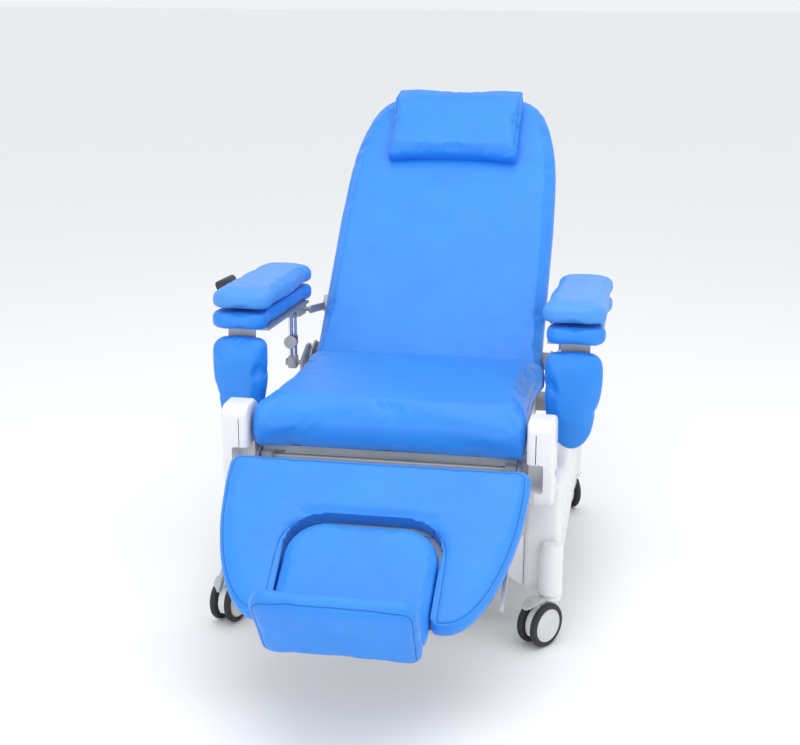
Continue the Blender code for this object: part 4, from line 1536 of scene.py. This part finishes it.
def screws(points: Iterable[Vector], facing: Vector, radius: float, height: float) -> bmesh.types.BMesh:
    """Makes socket-head screws that stand on a face.

    Args:
        points: where the heads stand.
        facing: the face's outward direction.
        radius: radius of the heads.
        height: height of the heads.

    Returns:
        All the heads as one bmesh.
    """
    turn = facing.to_track_quat("Z", "Y").to_matrix().to_4x4()
    parts = []
    for point in points:
        head = screw_head(radius, height)
        bmesh.ops.transform(head, matrix=Matrix.Translation(point) @ turn, verts=head.verts)
        parts.append(head)
    return merged(parts)


@dataclass
class HingeCover:
    """The white cover beside the seat's front corner, drawn for the right side.

    Args:
        inner: X of its inner face.
        outer: X of its outer face.
        outline: its side view.
        rounding: radius of its edges.
    """

    inner: float = 0.3195
    outer: float = 0.381
    outline: Sequence[Corner] = (
        (-0.500, 0.354, 0.020),
        (-0.500, 0.550, 0.026),
        (-0.405, 0.550, 0.040),
        (-0.388, 0.490, 0.030),
        (-0.400, 0.354, 0.024),
    )
    rounding: float = 0.0085

    def build(self, side: Side, palette: Palette) -> None:
        """Makes the cover with its slit, niche and cap."""
        body = soften(plate(self.outline, Plane.SIDE, self.inner, self.outer, 10), self.rounding, 5)
        niche = soften(block((0.300, -0.530, 0.385), (0.357, -0.436, 0.452)), 0.006, 3)
        slit = block((0.3385, -0.530, 0.4525), (0.3405, -0.448, 0.521))
        step = block((0.300, -0.530, 0.340), (0.338, -0.478, 0.386), 0.004)
        mesh = carved(f"hinge_shell_{side.word}", body, [niche, slit, step])
        at = PLACES.chair @ side.flip
        name = f"hinge_shell_{side.word}"
        place(name, mesh, "base", at, palette.white, (f"hinge_cover_{side.word}",), 32)
        disc = [(0, 0), (0, 0.0085), (0.0012, 0.0085), (0.0022, 0.0070), (0.0022, 0)]
        cap = turned(disc, Vector((1, 0, 0)), 40)
        bmesh.ops.translate(cap, verts=cap.verts, vec=(self.outer - 0.0002, -0.450, 0.420))
        fit(f"hinge_cap_{side.word}", cap, "base", at, palette.grey)


@dataclass
class BaseColumn:
    """A white base shell with its caster bosses, drawn for the right side.

    Args:
        inner: X of its inner face.
        outer: X of its outer face.
        bottom: Z of its lower edge.
        front: Y of the front caster.
        rear: Y of the rear caster.
        boss_x: X of the bosses.
        boss: radius of the bosses.
        boss_top: Z where the bosses end.
        wall: thickness of the moulding.
    """

    inner: float = 0.312
    outer: float = 0.394
    bottom: float = 0.118
    front: float = -0.428
    rear: float = 0.400
    boss_x: float = 0.3765
    boss: float = 0.028
    boss_top: float = 0.240
    wall: float = 0.0035

    def body(self, inset: float) -> bmesh.types.BMesh:
        """Returns the swept shell, shrunk by inset."""
        low = self.bottom - (0.05 if inset else 0)
        corners = [
            (self.front + 0.012 + inset, low, 0),
            (self.front + 0.012 + inset, 0.263 - inset, 0.045),
            (-0.375 + inset, 0.3655 - inset, 0.020),
            (-0.020 - inset, 0.3655 - inset, 0.050),
            (self.rear - 0.232 - inset, 0.248 - inset, 0.120),
            (self.rear - 0.012 - inset, 0.223 - inset, 0.030),
            (self.rear - 0.012 - inset, low, 0),
        ]
        bm = plate(corners, Plane.SIDE, self.inner + inset, self.outer - inset, 9)

        def above_rim(edge: bmesh.types.BMEdge) -> bool:
            """Tells whether an edge isn't part of the open lower rim."""
            low_end, high_end = sorted(v.co.z for v in edge.verts)
            return low_end > self.bottom + 0.001 or high_end - low_end > 0.01

        return soften(bm, 0.0115 if inset else 0.0150, 5, above_rim, 50)

    def boss_solid(self, y: float, inset: float) -> bmesh.types.BMesh:
        """Returns a caster boss with a rounded shoulder, shrunk by inset."""
        low = self.bottom - (0.05 if inset else 0)
        radius = self.boss - inset
        top = self.boss_top - inset
        profile = [(low, 0), (low, radius), (top - 0.022, radius)]
        for step in range(1, 7):
            angle = math.pi / 2 * step / 6
            profile.append((top - 0.022 + 0.022 * math.sin(angle), radius - 0.012 * (1 - math.cos(angle))))
        profile.append((top, 0))
        bm = turned(profile, Vector((0, 0, 1)), 56)
        bmesh.ops.translate(bm, verts=bm.verts, vec=(self.boss_x, y, 0))
        return bm

    def build(self, side: Side, palette: Palette) -> None:
        """Makes the shell, hollow and open below, and the lips of its bosses."""
        places = (self.front, self.rear)
        bosses = [self.boss_solid(y, 0) for y in places]
        bm = as_bmesh(carved("outer", self.body(0), bosses, joined=True))
        hollow = [self.body(self.wall)] + [self.boss_solid(y, self.wall) for y in places]
        arch = plate(
            [
                (self.front + self.boss + 0.012, 0.05, 0),
                (self.front + self.boss + 0.026, self.bottom + 0.017, 0.016),
                (self.rear - self.boss - 0.026, self.bottom + 0.017, 0.016),
                (self.rear - self.boss - 0.012, 0.05, 0),
            ],
            Plane.SIDE,
            self.inner - 0.02,
            self.outer + 0.03,
        )
        slot = block((0.3174, -0.3606, 0.33), (0.3336, -0.0494, 0.39))
        notches = [
            block((0.29, y - 0.0006, 0.04), (0.3186, y + 0.0406, 0.1806))
            for y in (self.front + 0.030, self.rear - 0.070)
        ]
        name = f"base_skin_{side.word}"
        mesh = carved(name, bm, [*hollow, arch, slot, *notches])
        at = PLACES.chair @ side.flip
        place(name, mesh, "base", at, palette.white, (f"base_shell_{side.word}",), 30)
        lips = []
        for y in places:
            lip = turned(
                [
                    (self.bottom - 0.0006, self.boss - 0.004),
                    (self.bottom - 0.0006, self.boss + 0.0006),
                    (self.bottom + 0.0010, self.boss + 0.0016),
                    (self.bottom + 0.0060, self.boss + 0.0016),
                    (self.bottom + 0.0075, self.boss + 0.0002),
                    (self.bottom + 0.0075, self.boss - 0.004),
                    (self.bottom - 0.0006, self.boss - 0.004),
                ],
                Vector((0, 0, 1)),
                56,
            )
            bmesh.ops.translate(lip, verts=lip.verts, vec=(self.boss_x, y, 0))
            lips.append(lip)
        fit(f"boss_lips_{side.word}", merged(lips), "base", at, palette.white)


@dataclass
class Caster:
    """A braked twin-wheel caster in its swivel's frame, trailing towards -Y.

    Args:
        wheel: radius of the wheels.
        width: width of each wheel.
        pair: width over both wheels.
        trail: distance from the swivel to the axle.
        disc: radius of the light disc.
    """

    wheel: float = 0.0525
    width: float = 0.0175
    pair: float = 0.056
    trail: float = 0.033
    disc: float = 0.0400

    def at(self, name: str, turn: float) -> Matrix:
        """Returns the caster's frame on the floor."""
        pivot = joint_at(f"caster_swivel_{name}")
        return Matrix.Translation((pivot.x, pivot.y, 0)) @ Matrix.Rotation(math.radians(turn), 4, "Z")

    def tyre(self, sign: int) -> bmesh.types.BMesh:
        """Returns one tyre, with a rounded tread."""
        inner = self.pair / 2 - self.width
        outer = self.pair / 2
        r = self.wheel
        half = [
            (inner + 0.001, 0.036),
            (inner + 0.001, r - 0.009),
            (inner + 0.0015, r - 0.0045),
            (inner + 0.0040, r - 0.0012),
            (inner + 0.0075, r),
            (outer - 0.0065, r),
            (outer - 0.0030, r - 0.0014),
            (outer - 0.0006, r - 0.0048),
            (outer, r - 0.0085),
            (outer - 0.0002, self.disc + 0.0016),
            (outer - 0.0022, self.disc + 0.0004),
            (outer - 0.0022, 0.036),
            (inner + 0.001, 0.036),
        ]
        bm = turned([(sign * u, v) for u, v in half], Vector((1, 0, 0)), 72)
        return bm

    def rim(self, sign: int) -> bmesh.types.BMesh:
        """Returns one wheel's light disc, with a shallow ring and a hub."""
        inner = self.pair / 2 - self.width
        outer = self.pair / 2
        half = [
            (inner, 0),
            (inner, 0.010),
            (inner + 0.002, 0.012),
            (inner + 0.002, self.disc),
            (outer - 0.0026, self.disc),
            (outer - 0.0008, self.disc - 0.0014),
            (outer - 0.0006, self.disc - 0.0050),
            (outer - 0.0019, self.disc - 0.0064),
            (outer - 0.0019, self.disc - 0.0078),
            (outer - 0.0010, self.disc - 0.0092),
            (outer - 0.0010, 0.0125),
            (outer - 0.0018, 0.0115),
            (outer - 0.0018, 0.0100),
            (outer - 0.0004, 0.0088),
            (outer - 0.0002, 0.0040),
            (outer - 0.0002, 0),
        ]
        return turned([(sign * u, v) for u, v in half], Vector((1, 0, 0)), 72)

    def hood(self) -> bmesh.types.BMesh:
        """Returns the housing between the wheels, with its swivel cap."""
        half = self.pair / 2 - self.width - 0.0010
        outline = []
        for step in range(20):
            angle = math.radians(-38 + 256 * step / 19)
            outline.append((-self.trail + 0.0412 * math.cos(angle), self.wheel + 0.0412 * math.sin(angle), 0))
        core = plate(outline, Plane.SIDE, -half, half)
        soften(core, 0.0022, 3, None, 60)
        neck = plate(
            [
                (-0.050, self.wheel + 0.020, 0),
                (-0.043, 0.1078, 0.006),
                (0.018, 0.1078, 0.003),
                (0.020, 0.094, 0.010),
                (0.004, self.wheel + 0.004, 0),
            ],
            Plane.SIDE,
            -half + 0.0006,
            half - 0.0006,
        )
        profile = [
            (0.1035, 0),
            (0.1035, 0.0235),
            (0.1058, 0.0272),
            (0.1138, 0.0272),
            (0.1162, 0.0250),
            (0.1162, 0),
        ]
        cap = turned(profile, Vector((0, 0, 1)), 48)
        return as_bmesh(carved("hood", core, [neck, cap], joined=True))

    def pedal(self) -> bmesh.types.BMesh:
        """Returns the broad pointed brake pedal, at its hinge."""
        plan = [
            (-0.0170, 0.0040, 0.003),
            (0.0170, 0.0040, 0.003),
            (0.0195, -0.024, 0.012),
            (0.0130, -0.050, 0.012),
            (0.0, -0.0545, 0.010),
            (-0.0130, -0.050, 0.012),
            (-0.0195, -0.024, 0.012),
        ]
        crest, rise, droop = -0.018, 0.0012, 9.5
        bm = plate(plan, Plane.TOP, -0.0012, 0.0022, 5)
        for y in (crest, -0.034):
            geometry = bm.verts[:] + bm.edges[:] + bm.faces[:]
            bmesh.ops.bisect_plane(bm, geom=geometry, plane_co=(0, y, 0), plane_no=(0, 1, 0))
        for vert in bm.verts:
            y = vert.co.y - crest
            vert.co.z += rise * (1 - (y / 0.022) ** 2) if y > 0 else rise - droop * y**2
        soften(bm, 0.0010, 3)
        ridges = []
        for index in range(4):
            y = -0.0295 - index * 0.0052
            z = 0.0022 + rise - droop * (y - crest) ** 2
            half = 0.0115 - index * 0.0016
            ridges.append(rod((-half, y, z), (half, y, z), 0.0009, 10))
        return merged([bm, *ridges])

    def build(self, name: str, turn: float, palette: Palette) -> None:
        """Makes one caster."""
        at = self.at(name, turn)
        axle = at @ Matrix.Translation((0, -self.trail, self.wheel))
        fit(
            f"caster_tyres_{name}",
            merged(self.tyre(s) for s in (-1, 1)),
            f"wheels_{name}",
            axle,
            palette.tyre,
            (f"caster_wheels_{name}",),
        )
        core = turned([(-0.0282, 0), (-0.0282, 0.0036), (0.0282, 0.0036), (0.0282, 0)], Vector((1, 0, 0)), 24)
        bmesh.ops.scale(core, vec=(0.95, 1, 1), verts=core.verts)
        discs = merged([self.rim(-1), self.rim(1), core])
        fit(f"caster_discs_{name}", discs, f"wheels_{name}", axle, palette.disc, (), 25)
        hood = self.hood()
        stem = rod((0, 0, 0.1155), (0, 0, 0.150), 0.0108)
        hole = rod((-0.03, -self.trail, self.wheel), (0.03, -self.trail, self.wheel), 0.0043)
        mesh = carved(f"caster_hood_{name}", hood, [hole])
        place(
            f"caster_hood_{name}",
            mesh,
            f"caster_{name}",
            at,
            palette.white,
            (f"caster_yoke_{name}",),
            32,
        )
        fit(f"caster_stem_{name}", stem, f"caster_{name}", at, palette.chrome)
        hinge = at @ Matrix.Translation((0, -0.036, 0.1132))
        fit(
            f"brake_pedal_{name}",
            self.pedal(),
            f"pedal_{name}",
            hinge,
            palette.grey,
            (f"caster_pedal_{name}",),
        )


@dataclass
class ArmPost:
    """The twin-tube post of an armrest with its clamp and knob, drawn for the right side.

    Args:
        inner: X of the post's inner face.
        outer: X of its outer face.
        length: distance between its pivots.
        tube: radius of each tube.
        knob: height of the knob.
    """

    inner: float = 0.3475
    outer: float = 0.3710
    length: float = 0.140
    tube: float = 0.0059
    knob: float = 0.061

    def post(self, side: Side, palette: Palette) -> None:
        """Makes the tubes, foot, clamp and crown."""
        middle = (self.inner + self.outer) / 2
        at = PLACES.post(side) @ side.flip
        body = f"post_{side.word}"
        tubes = [
            rod((middle + s * 0.0058, 0, 0.012), (middle + s * 0.0058, 0, self.length - 0.010), self.tube)
            for s in (-1, 1)
        ]
        node = f"arm_post_{side.word}"
        fit(f"post_tubes_{side.word}", merged(tubes), body, at, palette.chrome, (node,))
        foot = soften(block((self.inner, -0.0145, -0.0145), (self.outer, 0.0145, 0.018)), 0.0028, 3)
        bore = rod((0.3, 0, 0), (0.4, 0, 0), 0.0063)
        foot_mesh = carved("foot", foot, [bore])
        place(f"post_foot_{side.word}", foot_mesh, body, at, palette.steel)
        top = self.length
        crown = plate(
            [
                (-0.0118, top - 0.016, 0.003),
                (0.0118, top - 0.016, 0.003),
                (0.0118, top - 0.006, 0.003),
                (0.0034, top + 0.0044, 0.003),
                (-0.0034, top + 0.0044, 0.003),
                (-0.0118, top - 0.006, 0.003),
            ],
            Plane.SIDE,
            self.inner,
            self.outer,
        )
        pin = rod((0.3392, 0, top), (0.3800, 0, top), 0.0049)
        crown = merged([soften(crown, 0.0008, 2), pin])
        fit(f"post_crown_{side.word}", crown, body, at, palette.steel)
        clamp = block((self.inner, -0.012, self.knob - 0.012), (self.outer, 0.012, self.knob + 0.012), 0.002)
        fit(f"post_clamp_{side.word}", clamp, body, at, palette.black)

    def hand_knob(self, side: Side, palette: Palette) -> None:
        """Makes the fluted knob that locks the post's height."""
        middle = (self.inner + self.outer) / 2
        at = PLACES.post(side) @ side.flip @ Matrix.Translation((middle, -0.0123, self.knob))
        profile = [
            (0, 0),
            (0, 0.0055),
            (0.0070, 0.0055),
            (0.0078, 0.0150),
            (0.0095, 0.0168),
            (0.0180, 0.0175),
            (0.0208, 0.0164),
            (0.0220, 0.0140),
            (0.0214, 0.0085),
            (0.0206, 0.0080),
            (0.0206, 0),
        ]
        bm = turned(profile, Vector((0, -1, 0)), 96)
        for vert in bm.verts:
            radius = math.hypot(vert.co.x, vert.co.z)
            if radius > 0.0145:
                flute = 0.5 + 0.5 * math.cos(12 * math.atan2(vert.co.z, vert.co.x))
                vert.co.x *= 1 - 0.055 * flute
                vert.co.z *= 1 - 0.055 * flute
        name = f"hand_knob_{side.word}"
        fit(name, bm, f"knob_{side.word}", at, palette.grey, (f"arm_knob_{side.word}",))

    def hardware(self, side: Side, palette: Palette) -> None:
        """Makes the screws under the armrest's bar."""
        at = PLACES.arm(side) @ side.flip
        points = [Vector((x, y, 0.0065)) for x in (0.362, 0.440) for y in (-0.270, -0.090, 0.070)]
        heads = screws(points, Vector((0, 0, -1)), 0.0052, 0.0030)
        fit(f"bar_screws_{side.word}", heads, f"armrest_{side.word}", at, palette.chrome)


@dataclass
class Handset:
    """The hand control on the patient's right armrest.

    Args:
        thick: its thickness.
        long: its length along the armrest.
        high: its height.
        tilt: how far it leans out, in degrees.
        seat: its place in the armrest pad's frame.
    """

    thick: float = 0.024
    long: float = 0.115
    high: float = 0.060
    tilt: float = 24.0
    seat: Corner = (-0.0900, -0.155, 0.012)

    @staticmethod
    def panel(
        centre: Pair,
        reach: Pair,
        radii: Pair,
        depth: Pair,
        segments: int = 6,
    ) -> bmesh.types.BMesh:
        """Makes a rectangular plate of the handset.

        Args:
            centre: (y, z) of its middle.
            reach: half its length and half its height.
            radii: radius of its front and of its rear corners.
            depth: X where its thickness starts and ends.
            segments: pieces in each rounded corner.

        Returns:
            The plate as a bmesh.
        """
        y, z = centre
        long, high = reach
        front, rear = radii
        corners = [
            (y - long, z - high, front),
            (y + long, z - high, rear),
            (y + long, z + high, rear),
            (y - long, z + high, front),
        ]
        return plate(corners, Plane.SIDE, *depth, segments)

    def build(self, palette: Palette) -> None:
        """Makes the case and the keypad with plain keys."""
        lean = Matrix.Rotation(-math.radians(self.tilt), 4, "Y")
        at = PLACES.swivel(Side.LEFT) @ Matrix.Translation(self.seat) @ lean
        body = "arm_pad_left"
        long, high = self.long / 2, self.high / 2
        outer, inner = -self.thick, -self.thick + 0.0008
        case = soften(self.panel((0, 0), (long, high), (0.012, 0.016), (outer, 0.0), 8), 0.0055, 4)
        lid = self.panel((0, 0), (long - 0.009, high - 0.008), (0.006, 0.008), (outer - 0.01, inner))
        mesh = carved("handset_case", case, [lid])
        place("handset_case", mesh, body, at, palette.black, ("handset",), 32)
        film_depth = (outer + 0.0002, outer + 0.0011)
        film = self.panel((0, 0), (long - 0.0094, high - 0.0084), (0.0056, 0.0076), film_depth)
        fit("handset_film", film, body, at, palette.keys)
        keys = []
        for row in range(2):
            for column in range(5):
                centre = (-0.036 + column * 0.018, -0.010 + row * 0.020)
                proud = (outer - 0.0006, outer + 0.0006)
                key = self.panel(centre, (0.0062, 0.0062), (0.003, 0.003), proud, 4)
                keys.append(soften(key, 0.0005, 2))
        fit("handset_keys", merged(keys), body, at, palette.grey)


@dataclass
class Fasteners:
    """Screws and end caps on the frame behind and under the cushions.

    Args:
        back_face: Y of the backrest board's rear face.
        leg_face: Z of the leg board's underside.
    """

    back_face: float = SeatAndBack.back_rear + GAP + BOARD
    leg_face: float = LegAndFoot.face - LegAndFoot.thick - GAP - BOARD

    def build(self, palette: Palette) -> None:
        """Makes the screws and the caps."""
        rear = self.back_face
        points = [Vector((s * 0.205, rear, z)) for s in (-1, 1) for z in (0.10, 0.30, 0.50, 0.66)]
        points += [Vector((s * 0.110, rear, 0.80)) for s in (-1, 1)]
        heads = screws(points, Vector((0, 1, 0)), 0.0065, 0.0032)
        fit("board_screws", heads, "backrest", PLACES.back, palette.chrome)
        caps = []
        for s in (-1, 1):
            cap = soften(block((0.264, rear - 0.0002, 0.5998), (0.2912, rear + 0.0258, 0.6040)), 0.0016, 3)
            bmesh.ops.scale(cap, vec=(s, 1, 1), verts=cap.verts)
            caps.append(cap)
        fit("frame_end_caps", merged(caps), "backrest", PLACES.back, palette.black)
        points = [Vector((s * 0.255, y, self.leg_face)) for s in (-1, 1) for y in (-0.120, -0.240, -0.360)]
        heads = screws(points, Vector((0, 0, -1)), 0.0060, 0.0030)
        fit("leg_board_screws", heads, "leg_rest", PLACES.leg, palette.chrome)


def fit_out(palette: Palette) -> None:
    """Makes and places every hard part that the frame's plain nodes stand in for."""
    for side in Side:
        HingeCover().build(side, palette)
        BaseColumn().build(side, palette)
        post = ArmPost()
        post.post(side, palette)
        post.hand_knob(side, palette)
        post.hardware(side, palette)
    for name, turn in (("front_left", -15), ("front_right", -36), ("rear_left", 160), ("rear_right", -150)):
        Caster().build(name, turn, palette)
    Handset().build(palette)
    Fasteners().build(palette)


# Frame parts kept from the model


def dress_frame(palette: Palette) -> None:
    """Gives every kept node the finish of its slot."""
    for row in frame["record"]["subparts"]:
        obj = frame["nodes"][row["node"]]
        obj.data.materials.clear()
        obj.data.materials.append(palette.slots[row["material_slot"]])


# Studio


@dataclass(frozen=True)
class Studio:
    """Camera, lights and floor.

    Args:
        azimuth: camera angle from the front towards +X, in degrees.
        height: camera angle above level, in degrees.
        roll: camera roll, in degrees.
        distance: from the target to the camera.
        target: point at the picture's middle, in the chair's own frame.
        lens: focal length for a 36 mm wide sensor, in millimetres.
    """

    azimuth: float = 10.04
    height: float = 15.85
    roll: float = 0.15
    distance: float = 3.62
    target: Corner = (-0.0535, 0.0, 0.506)
    lens: float = 63.0

    def camera(self) -> None:
        """Sets up the camera."""
        az, el = math.radians(self.azimuth), math.radians(self.height)
        back = Vector((math.sin(az) * math.cos(el), -math.cos(az) * math.cos(el), math.sin(el)))
        right = back.cross(Vector((0, 0, -1))).normalized()
        up = back.cross(right)
        turn = Matrix((right, up, back)).transposed().to_4x4()
        turn = turn @ Matrix.Rotation(math.radians(self.roll), 4, "Z")
        data = bpy.data.cameras.new("camera")
        data.lens = self.lens
        data.sensor_width = 36.0
        obj = bpy.data.objects.new("camera", data)
        bpy.context.scene.collection.objects.link(obj)
        stand = PLACES.chair @ Vector(self.target) + back * self.distance
        obj.matrix_world = Matrix.Translation(stand) @ turn
        bpy.context.scene.camera = obj

    def lamp(self, name: str, at: Corner, look: Corner, size: Pair, watts: float) -> None:
        """Hangs a soft rectangular lamp."""
        data = bpy.data.lights.new(name, "AREA")
        data.shape = "RECTANGLE"
        data.size, data.size_y = size
        data.energy = watts
        obj = bpy.data.objects.new(name, data)
        bpy.context.scene.collection.objects.link(obj)
        obj.location = at
        obj.rotation_euler = (Vector(look) - Vector(at)).to_track_quat("-Z", "Y").to_euler()

    def build(self) -> None:
        """Sets up camera, lamps, world and floor."""
        self.camera()
        self.lamp("top_lamp", (0.3, -0.6, 3.4), (0, 0, 0.4), (3.2, 3.2), 46)
        self.lamp("front_lamp", (-1.4, -4.2, 1.7), (0, 0, 0.5), (2.6, 2.2), 30)
        self.lamp("side_lamp", (3.2, -1.6, 1.6), (0, 0, 0.5), (2.0, 2.0), 12)
        world = bpy.data.worlds.new("studio")
        world.use_nodes = True
        world.node_tree.nodes["Background"].inputs["Color"].default_value = (0.95, 0.97, 1.0, 1)
        world.node_tree.nodes["Background"].inputs["Strength"].default_value = 0.92
        bpy.context.scene.world = world
        bpy.context.scene.view_settings.view_transform = "Standard"
        bm = bmesh.new()
        bmesh.ops.create_grid(bm, x_segments=1, y_segments=1, size=60)
        floor = loose("floor", to_mesh("floor", bm))
        shader = Shader("studio_floor", (0.93, 0.93, 0.93), 0.75)
        floor.data.materials.append(shader.material)


def main() -> None:
    """Builds the chair's looks and the studio."""
    logging.basicConfig(level=logging.INFO, format="%(name)s: %(message)s")
    palette = Palette()
    Studio().build()
    dress_frame(palette)
    upholster(palette)
    fit_out(palette)


if __name__ == "__main__":
    main()
